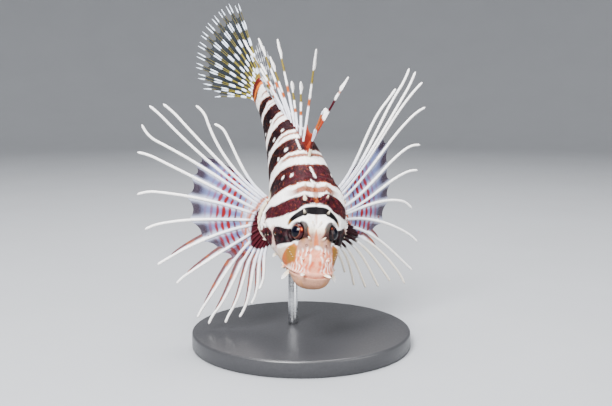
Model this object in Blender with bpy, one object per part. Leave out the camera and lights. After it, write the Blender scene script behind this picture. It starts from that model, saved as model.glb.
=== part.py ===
"""A life-size museum model of a lionfish that hunts head down with its fins spread, on a plain display stand.

The fish is drawn in its own frame, in millimetres: X to the fish's left, Y from the snout back along the
body, Z from belly to back. make_mesh turns millimetres into metres, and the empty "fish_pose" then pitches,
rolls and turns the whole fish over the stand. The origin is the middle of the stand's underside.
"""

import math

import bmesh
import bpy
import numpy as np
from mathutils import Euler, Matrix, Vector

MM = 0.001
GAP = 0.3
BOOLEAN_GAP = 0.35

# How the fish hangs over the stand, in degrees and millimetres
PITCH, ROLL, YAW = 40.8, 9.0, 4.8
SNOUT_PLACE = (6.0, -44.0, 42.0)

# Body length from the snout to the root of the tail fin, and its bend to the fish's right
LENGTH = 130.0
BEND, BEND_START, BEND_POWER = 21.5, 8.0, 1.0
GILL_EDGE, TAIL_START = 44.0, 92.0

# Distance from the snout, top, bottom, half width, height of the widest place
HEAD_STATIONS = (
    (0.0, -2.6, -5.2, 2.6, -4.0),
    (0.5, -1.0, -6.8, 4.8, -4.0),
    (1.5, 0.5, -8.2, 6.8, -3.8),
    (3.5, 2.9, -9.6, 8.4, -3.4),
    (7.0, 5.8, -11.3, 9.6, -3.2),
    (12.0, 8.8, -13.2, 11.2, -3.2),
    (18.0, 12.2, -15.0, 13.6, -3.6),
    (24.0, 15.4, -16.8, 16.0, -4.4),
    (30.0, 18.2, -18.4, 18.2, -5.4),
    (36.0, 20.6, -19.8, 19.8, -6.0),
    (41.0, 22.2, -20.8, 20.0, -5.6),
    (44.0, 23.0, -21.2, 19.2, -5.0),
)
TRUNK_STATIONS = (
    (44.0, 23.0, -21.2, 17.4, -4.0),
    (50.0, 23.6, -21.8, 15.8, -2.5),
    (60.0, 23.4, -21.6, 13.4, -1.0),
    (70.0, 22.2, -20.2, 11.6, 0.0),
    (82.0, 19.2, -17.4, 9.4, 0.0),
    (94.0, 15.2, -13.6, 7.2, 0.0),
    (106.0, 11.2, -9.9, 5.2, 0.0),
    (118.0, 8.3, -7.9, 3.6, 0.0),
    (130.0, 7.6, -7.6, 2.4, 0.0),
)
ROUNDNESS = 2.2
EYE_NARROWING = 0.3
HEAD_RINGS = (0, 0.5, 1.5, 3.5, 6, 9, 12, 15, 18, 21, 24, 27, 30, 33, 36, 38.5, 41, 43, 44)
RING_SIDES = 32

# Eyes, in the fish's frame, and the ring of bone around each
EYE_AT, EYE_RADIUS = (6.6, 21.5, 8.8), 4.5
EYE_AXIS = (0.80, -0.38, 0.46)
ORBIT_OUT, ORBIT_RADIUS, ORBIT_TUBE = 2.0, 4.6, 0.8

# The mouth runs from its front edge back and down to its corner, and the jaw's joint is below that
MOUTH_FRONT, MOUTH_BEND, MOUTH_CORNER, JAW_BACK = (-3.0, 1.4), (3.0, 0.4), (13.5, -8.0), (19.5, -20.0)
LIP_FRONT = 2.0

# Nostrils on each side: distance, place out and height
NOSTRILS = ((10.0, 3.6, 8.2), (13.2, 4.6, 9.6))

# Spines of the head on each side: distance, height, direction out, back and up, length, radius
HEAD_SPIKES = (
    (8.0, 5.2, (0.5, -0.3, 0.8), 1.6, 0.6),
    (15.5, 10.6, (0.7, 0.3, 0.9), 2.4, 0.9),
    (21.5, 14.4, (0.5, 0.5, 1.0), 2.6, 0.9),
    (26.5, 15.8, (0.4, 0.8, 0.8), 2.4, 0.9),
    (33.0, 18.8, (0.3, 0.9, 0.6), 2.4, 0.9),
    (38.0, 20.8, (0.3, 0.9, 0.6), 2.6, 0.9),
    (13.5, -7.0, (0.9, -0.3, -0.5), 2.0, 0.8),
    (34.5, -3.0, (0.8, 0.8, 0.1), 2.6, 1.0),
    (35.0, -8.0, (0.8, 0.7, -0.3), 2.4, 1.0),
    (34.0, -12.5, (0.7, 0.5, -0.7), 2.2, 0.9),
    (42.5, 5.0, (0.6, 1.0, 0.2), 2.4, 0.9),
)

# Flaps of skin along the upper jaw and cheek on each side: distance, height, direction, length, radius
HEAD_FLAPS = (
    (3.0, 1.5, (0.45, -0.6, 0.65), 3.2, 0.55),
    (9.0, -4.5, (0.7, -0.5, -0.75), 4.6, 0.85),
    (15.5, -8.5, (0.9, -0.2, -0.55), 4.2, 0.95),
    (25.0, -12.5, (0.8, 0.1, -0.7), 3.0, 0.75),
)

# Pectoral rays from the top of the fan down: angle up from straight out, length, how far the ray bows above
# its straight line near its first and its second third, and how far its tip hooks up, in degrees and mm
RIGHT_RAYS = (
    (48, 52, -7, 1.5, -2.5),
    (45, 64, -6, -6, -3.5),
    (35, 74, -3, -0.5, -1),
    (31, 78, -2, -2.5, -1),
    (24, 75, 1, 0, 4),
    (14, 70, 1, 1, -1.5),
    (-3, 64, 4, 4.5, -2),
    (-19, 60, 2, 5, -1),
    (-37, 59, 5, 3.5, 0),
    (-50, 56, 1, 1, -1),
    (-69, 62, 5, 0.5, -1),
    (-75, 62, 5.5, -4, -2),
    (-82, 58, 6.5, -4.5, -1.5),
    (-88, 53, 6, -4, 0),
    (-93, 45, 6, -3.5, 0),
    (-97, 37, 5, -3, 0),
)
LEFT_RAYS = (
    (46, 74, -12, 8, 2),
    (45, 87, -13, 3, 3),
    (42, 88, -8, -2.5, 1.5),
    (37, 87, -7, 4.5, 0),
    (29, 80, -6, 6, -1),
    (17, 67, -8, 8, -2),
    (6, 61, -7, 6, -1),
    (-14, 56, 3, 11, -2),
    (-31, 65, 9, 7, -1),
    (-44, 70, 11, 4, 0),
    (-51, 70, 10, 7, -1),
    (-55, 60, 9, 4.5, 0),
    (-62, 56, 10, 4, 0),
    (-69, 50, 9, 3, 0),
    (-76, 44, 8.5, 4, 0),
    (-80, 34, 4, 3, 0),
)
RIGHT_WEB = (0.30, 0.42, 0.50, 0.56, 0.57, 0.59, 0.62, 0.62, 0.56, 0.48, 0.40, 0.33, 0.28, 0.26, 0.26, 0.28)
LEFT_WEB = (0.30, 0.40, 0.47, 0.58, 0.63, 0.65, 0.70, 0.70, 0.55, 0.42, 0.36, 0.34, 0.30, 0.28, 0.28, 0.30)
HOOK_START = 0.86
RIGHT_SWEEP, LEFT_SWEEP, FAN_TILT = 10.0, 30.0, 38.0
RAY_RADIUS, RAY_MIDDLE_RADIUS, RAY_TIP_RADIUS = 0.42, 0.6, 0.4

# The fleshy lobe each pectoral fin grows from: its middle, and its half sizes out, up and through
LOBE_AT, LOBE_SIZE = (46.5, 12.0, -11.0), (8.2, 11.5, 3.8)
LOBE_ROOT, LOBE_TOP_ANGLE, LOBE_BOTTOM_ANGLE = (6.2, 9.6), 62.0, -100.0
FAN_CENTRE_OUT = 4.0

# Dorsal spines: distance from the snout, lean back and lean to the left in degrees, length, and how wide the
# flap of skin at the spine's middle is
DORSAL_SPINES = (
    (56.0, 0, -4, 18, 1.2),
    (58.8, 8, 6, 24, 2.0),
    (61.6, 16, 21, 40, 2.4),
    (66.5, 27, 3, 45, 0.6),
    (71.0, 40, 0, 26, 0.5),
    (75.5, 46, -5, 24, 0.4),
    (79.0, 52, -7, 44, 0.3),
    (82.5, 55, -13, 35, 0.2),
    (86.0, 58, -14, 44, 0.2),
    (89.0, 60, -22, 45, 0.2),
    (92.0, 62, -20, 37, 0.2),
    (95.0, 64, -14, 28, 0.2),
    (97.5, 66, -18, 20, 0.2),
)

# Tail fin: the angle of its top and bottom rays, how it turns and twists from the tail, and the rays' lengths
CAUDAL_TOP, CAUDAL_BOTTOM, CAUDAL_TURN, CAUDAL_TWIST = 42.0, -41.0, 20.0, 20.0
CAUDAL_LENGTHS = (46, 48, 48, 48, 48, 48, 47, 46, 45, 43, 39, 31)

# Pelvic fins: where the first ray of each is rooted, the number of rays and the longest
PELVIC_AT, PELVIC_COUNT, PELVIC_LENGTH = (51.0, 6.5, -17.5), 6, 40.0

# The stand: a round base and a rod that meets the belly at one distance from the snout
BASE_RADIUS, BASE_THICKNESS, BASE_BEVEL = 55.0, 8.0, 1.2
ROD_RADIUS, ROD_SIDES, ROD_AT = 2.4, 16, 60.0


def smooth_table(rows, x):
    """The row of values at x, on a monotone cubic through the table's rows."""
    table = np.array(rows, float)
    xs, ys = table[:, 0], table[:, 1:]
    x = min(max(x, xs[0]), xs[-1])
    steps = np.diff(xs)[:, None]
    slopes = np.diff(ys, axis=0) / steps
    product = slopes[:-1] * slopes[1:]
    total = slopes[:-1] + slopes[1:]
    middle = np.where(product > 0, 2 * product / np.where(total == 0, 1, total), 0.0)
    tangents = np.vstack([slopes[:1], middle, slopes[-1:]])
    i = int(min(max(np.searchsorted(xs, x) - 1, 0), len(xs) - 2))
    h = xs[i + 1] - xs[i]
    t = (x - xs[i]) / h
    return (
        ys[i] * (2 * t**3 - 3 * t**2 + 1)
        + tangents[i] * h * (t**3 - 2 * t**2 + t)
        + ys[i + 1] * (3 * t**2 - 2 * t**3)
        + tangents[i + 1] * h * (t**3 - t**2)
    )


def bend_at(s):
    """How far the body has turned to the fish's right at distance s from the snout, in radians."""
    t = min(max((s - BEND_START) / (LENGTH - BEND_START), 0.0), 1.0)
    return math.radians(BEND) * t**BEND_POWER


def centre_line(step=0.5):
    """Distances and points along the body's bent middle line."""
    distances = np.arange(0.0, LENGTH + step, step)
    turns = np.array([bend_at(s) for s in distances + step / 2])
    x = np.concatenate([[0.0], np.cumsum(-np.sin(turns) * step)[:-1]])
    y = np.concatenate([[0.0], np.cumsum(np.cos(turns) * step)[:-1]])
    return distances, x, y


LINE = centre_line()


def body_axes(s):
    """The fish's left, back and up directions at distance s."""
    turn = bend_at(s)
    left = Vector((math.cos(turn), math.sin(turn), 0.0))
    back = Vector((-math.sin(turn), math.cos(turn), 0.0))
    return left, back, Vector((0.0, 0.0, 1.0))


def at(s, x, z):
    """The point at distance s along the body, x to its left and z above its middle line."""
    inside = min(max(s, 0.0), LENGTH)
    left, back, up = body_axes(inside)
    middle = Vector((np.interp(inside, LINE[0], LINE[1]), np.interp(inside, LINE[0], LINE[2]), 0.0))
    return middle + back * (s - inside) + left * x + up * z


def bump(value, centre, width):
    """A smooth bump of height 1 at centre."""
    return math.exp(-(((value - centre) / width) ** 2))


def head_relief(s, x, z):
    """How far bone stands out of the head's plain form."""
    side = abs(x)
    upper = 1.0 if z > 0 else 0.0
    brow = 1.3 * bump(s, 21.0, 7.0) * bump(side, 4.6, 1.8) * upper
    hollow = -1.0 * bump(s, 20.0, 9.0) * bump(side, 0.0, 2.2) * upper
    snout_hump = 0.9 * bump(s, 7.5, 3.0) * bump(side, 2.4, 2.0) * upper
    nape_ridge = 1.1 * bump(s, 37.0, 5.0) * bump(side, 5.5, 1.8) * upper
    cheek_ridge = 0.9 * bump(z, 1.0 - (s - 26.0) * 0.12, 1.8) * bump(s, 28.0, 8.0)
    gill_cover = 0.8 * bump(s, 38.5, 3.0) * (1.0 - upper) * min(side / 12.0, 1.0)
    return brow + hollow + snout_hump + nape_ridge + cheek_ridge + gill_cover


def ring_at(stations, s, grow=0.0, relief=None, sides=RING_SIDES):
    """One closed ring of points round the body at distance s, grown outwards by a margin."""
    top, bottom, half, widest = smooth_table(stations, s)
    ring = []
    for k in range(sides):
        angle = 2 * math.pi * k / sides
        c, q = math.cos(angle), math.sin(angle)
        power = 2.0 / (ROUNDNESS - (EYE_NARROWING * bump(s, EYE_AT[1], 9.0) if relief and q > 0 else 0.0))
        reach = (top - widest if q > 0 else widest - bottom) + grow
        x = math.copysign(abs(c) ** power, c) * (half + grow)
        z = widest + math.copysign(abs(q) ** power, q) * reach
        if relief:
            out = relief(s, x, z)
            size = math.hypot(x, z - widest) or 1.0
            x, z = x + x / size * out, z + (z - widest) / size * out
        ring.append(at(s, x, z))
    return ring


def make_mesh(name, points, faces):
    """A new object from points in millimetres and faces, with its normals facing out."""
    mesh = bpy.data.meshes.new(name)
    mesh.from_pydata([tuple(Vector(p) * MM) for p in points], [], faces)
    work = bmesh.new()
    work.from_mesh(mesh)
    bmesh.ops.recalc_face_normals(work, faces=work.faces)
    if work.calc_volume(signed=True) < 0:
        bmesh.ops.reverse_faces(work, faces=work.faces)
    work.to_mesh(mesh)
    work.free()
    obj = bpy.data.objects.new(name, mesh)
    bpy.context.scene.collection.objects.link(obj)
    return obj


def loft(name, rings):
    """A closed solid through rings of equal length, each end closed by a fan round its middle."""
    sides = len(rings[0])
    points = [p for ring in rings for p in ring]
    faces = []
    for k in range(len(rings) - 1):
        for j in range(sides):
            a, b = k * sides + j, k * sides + (j + 1) % sides
            faces.append((a, b, b + sides))
            faces.append((a, b + sides, a + sides))
    for first in (0, (len(rings) - 1) * sides):
        middle = sum((points[first + j] for j in range(sides)), Vector()) / sides
        points.append(middle)
        faces += [(first + j, first + (j + 1) % sides, len(points) - 1) for j in range(sides)]
    return make_mesh(name, points, faces)


def frame_along(path, k, normal):
    """Tangent, side and normal of a path at its point k, with the normal kept near the one given."""
    tangent = (path[min(k + 1, len(path) - 1)] - path[max(k - 1, 0)]).normalized()
    upright = (normal - tangent * normal.dot(tangent)).normalized()
    return tangent, upright.cross(tangent), upright


def tube(name, path, radii, sides=6, flat=1.0, normal=Vector((0.0, 0.0, 1.0))):
    """A closed tube along a path, of one radius for each point. flat under 1 squashes it along the normal."""
    rings = []
    for k, (point, radius) in enumerate(zip(path, radii)):
        _, side, upright = frame_along(path, k, normal)
        angles = [2 * math.pi * j / sides for j in range(sides)]
        rings.append([point + (side * math.cos(a) + upright * (math.sin(a) * flat)) * radius for a in angles])
    return loft(name, rings)


def sphere(name, centre, radius, segments=16, rings=10):
    """A ball at a point of the fish's frame."""
    mesh = bpy.data.meshes.new(name)
    work = bmesh.new()
    bmesh.ops.create_uvsphere(work, u_segments=segments, v_segments=rings, radius=radius * MM)
    bmesh.ops.translate(work, vec=Vector(centre) * MM, verts=work.verts)
    bmesh.ops.triangulate(work, faces=work.faces)
    work.to_mesh(mesh)
    work.free()
    obj = bpy.data.objects.new(name, mesh)
    bpy.context.scene.collection.objects.link(obj)
    return obj


def apply_boolean(obj, operation, others, mends=False):
    """Joins or cuts obj by the other objects in one Boolean, applies it, and removes them.

    mends also joins the parts of obj that cross each other.
    """
    helpers = bpy.data.collections.new("helpers")
    bpy.context.scene.collection.children.link(helpers)
    for other in others:
        bpy.context.scene.collection.objects.unlink(other)
        helpers.objects.link(other)
    modifier = obj.modifiers.new("cut_or_join", "BOOLEAN")
    modifier.operation = operation
    modifier.operand_type = "COLLECTION"
    modifier.collection = helpers
    modifier.solver = "EXACT"
    modifier.use_self = mends
    bpy.context.view_layer.update()
    graph = bpy.context.evaluated_depsgraph_get()
    shaped = bpy.data.meshes.new_from_object(obj.evaluated_get(graph))
    obj.modifiers.clear()
    obj.data = shaped
    for other in others:
        bpy.data.objects.remove(other)
    bpy.data.collections.remove(helpers)
    return obj


def keep_largest(obj):
    """Keeps the largest closed surface of obj, in triangles."""
    work = bmesh.new()
    work.from_mesh(obj.data)
    bmesh.ops.triangulate(work, faces=work.faces)
    work.faces.ensure_lookup_table()
    unseen, shells = set(work.faces), []
    while unseen:
        stack, shell = [unseen.pop()], []
        while stack:
            face = stack.pop()
            shell.append(face)
            for edge in face.edges:
                for other in edge.link_faces:
                    if other in unseen:
                        unseen.discard(other)
                        stack.append(other)
        shells.append(shell)

    def size(shell):
        corners = [v.co for face in shell for v in face.verts]
        low = Vector(map(min, zip(*corners)))
        high = Vector(map(max, zip(*corners)))
        return (high - low).length

    shells.sort(key=size)
    bmesh.ops.delete(work, geom=[f for shell in shells[:-1] for f in shell], context="FACES")
    work.to_mesh(obj.data)
    work.free()
    return obj


def copy_of(obj):
    """A helper object with its own copy of obj's mesh."""
    twin = bpy.data.objects.new("helper", obj.data.copy())
    bpy.context.scene.collection.objects.link(twin)
    return twin


def ray_fan(name, rays, normal, web_levels, free_levels, half_web=0.26, scallop=0.5):
    """A fin as one closed surface: rays as ridges on a thin web, and free tips past the web's scalloped edge.

    Each ray is a dict: path(t) for t from 0 to 1, web (where the web ends on it), radius(t), and flag(t), the
    width of the flap of skin on its rear side past the web. Both faces of the web are split alike.
    """
    points, faces = [], []

    def add(point):
        points.append(point)
        return len(points) - 1

    rows = []
    for i, ray in enumerate(rays):
        ahead, behind = rays[min(i + 1, len(rays) - 1)], rays[max(i - 1, 0)]
        toward = ahead["path"](0.3) - behind["path"](0.3)
        web = ray["web"]
        marks = [web * k / web_levels for k in range(web_levels + 1)]
        marks += [web + (1 - web) * (k / free_levels) ** 0.85 for k in range(1, free_levels)] + [0.99, 1.0]
        path = [ray["path"](t) for t in marks]
        levels = []
        for k, t in enumerate(marks):
            _, side, upright = frame_along(path, k, ray.get("normal", normal))
            if side.dot(toward) < 0:
                side = -side
            radius = ray["radius"](t)
            left, right = path[k] - side * radius, path[k] + side * radius
            high, low = path[k] + upright * radius, path[k] - upright * radius
            web_up = upright * half_web
            if k == len(marks) - 1:
                levels.append([add(path[k])])
            elif k > web_levels:
                flap = right + side * ray["flag"](t)
                levels.append([add(left), add(high), add(flap), add(low)])
            else:
                ring = (left + web_up, high, right + web_up, right - web_up, low, left - web_up)
                levels.append([add(p) for p in ring])
        rows.append(levels)

    def quad(a, b, c, d):
        faces.append((a, b, c))
        faces.append((a, c, d))

    for levels in rows:
        for k in range(web_levels):
            a, b = levels[k], levels[k + 1]
            quad(a[0], a[1], b[1], b[0])
            quad(a[2], a[1], b[1], b[2])
            quad(a[5], a[4], b[4], b[5])
            quad(a[3], a[4], b[4], b[3])
        a, b = levels[web_levels], levels[web_levels + 1]
        if len(b) == 1:
            tip = b[0]
            faces.extend((a[j], a[(j + 1) % 6], tip) for j in range(6))
        else:
            quad(a[0], a[1], b[1], b[0])
            quad(a[2], a[1], b[1], b[2])
            quad(a[5], a[4], b[3], b[0])
            quad(a[3], a[4], b[3], b[2])
            faces.append((a[2], a[3], b[2]))
            faces.append((a[5], a[0], b[0]))
        for k in range(web_levels + 1, len(levels) - 1):
            a, b = levels[k], levels[k + 1]
            for j in range(4):
                if len(b) == 1:
                    faces.append((a[j], a[(j + 1) % 4], b[0]))
                elif j in (0, 3):
                    quad(a[j], a[(j + 1) % 4], b[(j + 1) % 4], b[j])
                else:
                    quad(a[(j + 1) % 4], a[j], b[j], b[(j + 1) % 4])
        root = levels[0]
        quad(root[0], root[1], root[4], root[5])
        quad(root[2], root[1], root[4], root[3])

    for k in range(web_levels):
        first, last = rows[0], rows[-1]
        quad(first[k][0], first[k][5], first[k + 1][5], first[k + 1][0])
        quad(last[k][2], last[k][3], last[k + 1][3], last[k + 1][2])

    for one, two in zip(rows, rows[1:]):
        for k in range(web_levels - 1):
            quad(one[k][2], two[k][0], two[k + 1][0], one[k + 1][2])
            quad(one[k][3], two[k][5], two[k + 1][5], one[k + 1][3])
        k = web_levels - 1
        dips = []
        for near, far in ((2, 0), (3, 5)):
            outer = (points[one[k + 1][near]] + points[two[k + 1][far]]) / 2
            inner = (points[one[k][near]] + points[two[k][far]]) / 2
            dip = add(outer + (inner - outer) * scallop)
            dips.append(dip)
            faces.append((one[k][near], two[k][far], dip))
            faces.append((two[k][far], two[k + 1][far], dip))
            faces.append((dip, one[k + 1][near], one[k][near]))
        quad(one[k + 1][2], dips[0], dips[1], one[k + 1][3])
        quad(dips[0], two[k + 1][0], two[k + 1][5], dips[1])
        quad(one[0][2], two[0][0], two[0][5], one[0][3])
    return make_mesh(name, points, faces)


def bezier(a, b, c, t):
    """The point at t on the curve from a to c that is pulled towards b."""
    return a * (1 - t) ** 2 + b * (2 * t * (1 - t)) + c * t * t


def fan_axes(side):
    """The middle of one pectoral fin's lobe, and the fin's directions out, up and through."""
    sweep = math.radians(RIGHT_SWEEP if side < 0 else LEFT_SWEEP)
    tilt = math.radians(FAN_TILT)
    out = Vector((side * math.cos(sweep), math.sin(sweep), 0.0))
    up = Vector((0.0, math.sin(tilt), math.cos(tilt)))
    up = (up - out * up.dot(out)).normalized()
    s, x, z = LOBE_AT
    return at(s, side * x, z), out, up, out.cross(up).normalized()


def lobe(name, side, grow=0.0):
    """The fleshy root of one pectoral fin, grown by a margin."""
    middle, out, up, through = fan_axes(side)
    obj = sphere(name, (0.0, 0.0, 0.0), 1.0, 20, 12)
    a, b, c = (size + grow for size in LOBE_SIZE)
    for vertex in obj.data.vertices:
        x, y, z = vertex.co / MM
        vertex.co = (middle + out * x * a + up * y * b + through * z * c) * MM
    return obj


def pectoral_rays(side):
    """The rays of one pectoral fin. side is -1 for the fish's right and 1 for its left."""
    shapes = RIGHT_RAYS if side < 0 else LEFT_RAYS
    webs = RIGHT_WEB if side < 0 else LEFT_WEB
    middle, out, up, normal = fan_axes(side)
    centre = middle + out * FAN_CENTRE_OUT
    rays = []
    for i, (angle, length, near_bow, far_bow, hook) in enumerate(shapes):
        share = i / (len(shapes) - 1)
        start = math.radians(LOBE_TOP_ANGLE + (LOBE_BOTTOM_ANGLE - LOBE_TOP_ANGLE) * share)
        root = middle + out * (math.cos(start) * LOBE_ROOT[0]) + up * (math.sin(start) * LOBE_ROOT[1])
        a = math.radians(angle)
        tip = centre + (out * math.cos(a) + up * math.sin(a)) * length
        chord = tip - root
        above = normal.cross(chord).normalized()
        near = root + chord / 3 + above * near_bow
        far = root + chord * (2 / 3) + above * far_bow
        curve = (root, near, far, tip, above * hook)
        rays.append({
            "path": lambda t, c=curve: hooked_curve(c, t),
            "web": webs[i],
            "radius": pectoral_radius,
            "flag": lambda t: 0.0,
        })
    return rays, normal


def hooked_curve(curve, t):
    """The point at t on a cubic curve whose end is also pushed aside, more and more towards its tip."""
    a, b, c, d, hook = curve
    point = a * (1 - t) ** 3 + b * (3 * t * (1 - t) ** 2) + c * (3 * t * t * (1 - t)) + (d - hook) * t**3
    late = max(t - HOOK_START, 0.0) / (1 - HOOK_START)
    return point + hook * late * late


def pectoral_radius(t):
    """The radius of a pectoral ray, which thickens from its root and thins again towards its free tip."""
    if t < 0.15:
        return RAY_RADIUS + (RAY_MIDDLE_RADIUS - RAY_RADIUS) * t / 0.15
    return RAY_MIDDLE_RADIUS + (RAY_TIP_RADIUS - RAY_MIDDLE_RADIUS) * (t - 0.15) / 0.85


def dorsal_rays():
    """The spines of the front dorsal fin, each with a flap of skin behind it that widens towards its tip."""
    rays = []
    for s, lean, aside, length, flap in DORSAL_SPINES:
        left, back, up = body_axes(s)
        root = at(s, 0.0, smooth_table(TRUNK_STATIONS, s)[0] - 1.8)
        back_lean, side_lean = math.radians(lean), math.radians(aside)
        direction = (up * math.cos(back_lean) + back * math.sin(back_lean)).normalized()
        direction = (direction + left * math.tan(side_lean)).normalized()
        tip = root + direction * (length + 1.8)
        knee = root + (tip - root) * 0.5 + up * (length * 0.03)
        rays.append({
            "path": lambda t, r=root, k=knee, p=tip: bezier(r, k, p, t),
            "web": 0.24,
            "normal": left,
            "radius": lambda t: 0.8 - 0.45 * t,
            "flag": lambda t, f=flap: 0.3 + 1.5 * bump(t, 0.88, 0.09) + f * bump(t, 0.5, 0.12),
        })
    return rays


def midline_rays(first, last, count, lean, length, below, aside, radius=(0.5, 0.3), web=0.95):
    """Rays of a soft fin on the body's midline from distance first to last, above it or below it."""
    rays = []
    for i in range(count):
        share = i / (count - 1)
        s = first + (last - first) * share
        left, back, up = body_axes(s)
        top, bottom = smooth_table(TRUNK_STATIONS, s)[:2]
        away = -up if below else up
        angle = math.radians(lean[0] + (lean[1] - lean[0]) * share)
        reach = length[0] + (length[1] - length[0]) * math.sin(math.pi * min(share * 0.8 + 0.18, 1.0))
        root = at(s, 0.0, bottom + 1.8 if below else top - 1.8)
        way = away * math.cos(angle) + back * math.sin(angle) + left * math.tan(math.radians(aside))
        tip = root + way.normalized() * (reach + 1.8)
        knee = root + (tip - root) * 0.5 + away * (reach * 0.04)
        rays.append({
            "path": lambda t, r=root, k=knee, p=tip: bezier(r, k, p, t),
            "web": web,
            "normal": left,
            "radius": lambda t, r=radius: r[0] + (r[1] - r[0]) * t,
            "flag": lambda t: 0.0,
        })
    return rays


def caudal_rays():
    """The rays of the tail fin, fanned round the tail's end."""
    left, back, up = body_axes(LENGTH)
    turn, twist = math.radians(CAUDAL_TURN), math.radians(CAUDAL_TWIST)
    behind = back * math.cos(turn) - left * math.sin(turn)
    above = up * math.cos(twist) + left * math.sin(twist)
    above = (above - behind * above.dot(behind)).normalized()
    normal = above.cross(behind)
    rays = []
    for i, length in enumerate(CAUDAL_LENGTHS):
        share = i / (len(CAUDAL_LENGTHS) - 1)
        angle = math.radians(CAUDAL_TOP + (CAUDAL_BOTTOM - CAUDAL_TOP) * share)
        height = 6.6 - 13.2 * share
        root = at(LENGTH - 2.6, 0.0, height)
        tip = at(LENGTH, 0.0, 0.0) + (behind * math.cos(angle) + above * math.sin(angle)) * length
        knee = root + back * (length * 0.3) + (above * math.sin(angle)) * (length * 0.22)
        rays.append({
            "path": lambda t, r=root, k=knee, p=tip: bezier(r, k, p, t),
            "web": 0.95,
            "normal": normal,
            "radius": lambda t: 0.46 - 0.12 * t,
            "flag": lambda t: 0.0,
        })
    return rays


def pelvic_rays(side):
    """The rays of one pelvic fin, which trails back, out and down from the belly."""
    s, x, z = PELVIC_AT
    left, back, up = body_axes(s)
    out = left * side
    rays = []
    for i in range(PELVIC_COUNT):
        share = i / (PELVIC_COUNT - 1)
        root = at(s + 5.0 * share, side * (x - 1.5 * share), z + 0.5)
        angle = math.radians(62 - 34 * share)
        forward = back * math.cos(angle) - up * math.sin(angle)
        tip = root + (forward + out * (0.55 - 0.2 * share)).normalized() * (
            PELVIC_LENGTH * (0.78 + 0.22 * math.sin(math.pi * (0.25 + 0.6 * share)))
        )
        knee = root + (tip - root) * 0.5 + out * 2.0
        rays.append({
            "path": lambda t, r=root, k=knee, p=tip: bezier(r, k, p, t),
            "web": 0.9,
            "normal": (out + up * 0.3).normalized(),
            "radius": lambda t: 0.6 - 0.25 * t,
            "flag": lambda t: 0.0,
        })
    return rays


def spike(name, root, direction, length, radius, sides=5):
    """A short cone of bone with its root sunk in."""
    direction = Vector(direction).normalized()
    start = root - direction * radius * 1.5
    path = [start, start + direction * (length * 0.5 + radius), root + direction * length]
    normal = Vector((0.0, 1.0, 0.2)) if abs(direction.y) < 0.8 else Vector((0.0, 0.0, 1.0))
    return tube(name, path, [radius * 1.15, radius * 0.75, 0.12], sides, normal=normal)


def head_side(s, z):
    """The head's half width at distance s and height z, without its relief."""
    top, bottom, half, widest = smooth_table(HEAD_STATIONS, s)
    reach = top - widest if z > widest else widest - bottom
    share = min(abs(z - widest) / reach, 0.999)
    return half * (1 - share**ROUNDNESS) ** (1 / ROUNDNESS)


def head_pieces():
    """The spines, flaps, lips and eye rims that are joined to the head."""
    pieces = []
    for side in (-1, 1):
        for s, z, (x, y, up), length, radius in HEAD_SPIKES:
            root = at(s, side * head_side(s, z), z)
            pieces.append(spike("spike", root, (side * x, y, up), length, radius))
        for s, z, (x, y, up), length, radius in HEAD_FLAPS:
            way = Vector((side * x, y, up)).normalized()
            root = at(s, side * head_side(s, z), z) - way * 0.9
            drop = Vector((0.0, 0.0, -0.25 * length))
            tip = root + way * (length + 0.9) + drop
            path = [root, root + way * length * 0.4, root + way * length * 0.8, tip]
            radii = [radius, radius, radius * 0.9, 0.2]
            pieces.append(tube("flap", path, radii, 6, 0.55, Vector((0.0, 1.0, 0.0))))
        centre, axis = eye_place(side)
        pieces.append(orbit_ring(centre + axis * ORBIT_OUT, axis))
    pieces.append(upper_lip())
    return pieces


def eye_place(side):
    """The middle of one eye and the way it looks."""
    x, s, z = EYE_AT
    ax, ay, az = EYE_AXIS
    return at(s, side * x, z), Vector((side * ax, ay, az)).normalized()


def orbit_ring(centre, axis, steps=16):
    """The raised rim of bone and skin round an eye."""
    across = axis.cross(Vector((0.0, 0.0, 1.0))).normalized()
    upward = across.cross(axis).normalized()
    sides = 6
    points, faces = [], []
    for i in range(steps):
        a = 2 * math.pi * i / steps
        out = across * math.cos(a) + upward * math.sin(a)
        for j in range(sides):
            b = 2 * math.pi * j / sides
            reach = ORBIT_RADIUS + ORBIT_TUBE * math.cos(b)
            points.append(centre + out * reach + axis * (ORBIT_TUBE * math.sin(b)))
    for i in range(steps):
        for j in range(sides):
            a, b = i * sides + j, i * sides + (j + 1) % sides
            c, d = ((i + 1) % steps) * sides + (j + 1) % sides, ((i + 1) % steps) * sides + j
            faces += [(a, b, c), (a, c, d)]
    return make_mesh("orbit", points, faces)


def mouth_height(s):
    """The height of the mouth line at distance s."""
    (s0, z0), (s1, z1), (s2, z2) = MOUTH_FRONT, MOUTH_BEND, MOUTH_CORNER
    return z0 + (z1 - z0) * (s - s0) / (s1 - s0) if s < s1 else z1 + (z2 - z1) * (s - s1) / (s2 - s1)


def lip_path(offset, back_to, count):
    """Points along the jaw's edge from one mouth corner round the front to the other."""
    path = []
    for k in range(count):
        turn = math.pi * (k / (count - 1) - 0.5)
        s = LIP_FRONT + (back_to - LIP_FRONT) * (1 - math.cos(turn)) ** 1.3
        z = mouth_height(s) + offset
        path.append(at(s, math.copysign(head_side(s, z) - 0.2, turn) if k != count // 2 else 0.0, z))
    return path


def upper_lip():
    """The fleshy edge of the upper jaw."""
    path = lip_path(0.9, 11.5, 15)
    return tube("lip", path, [0.4] + [0.9] * 13 + [0.4], 6)


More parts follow.
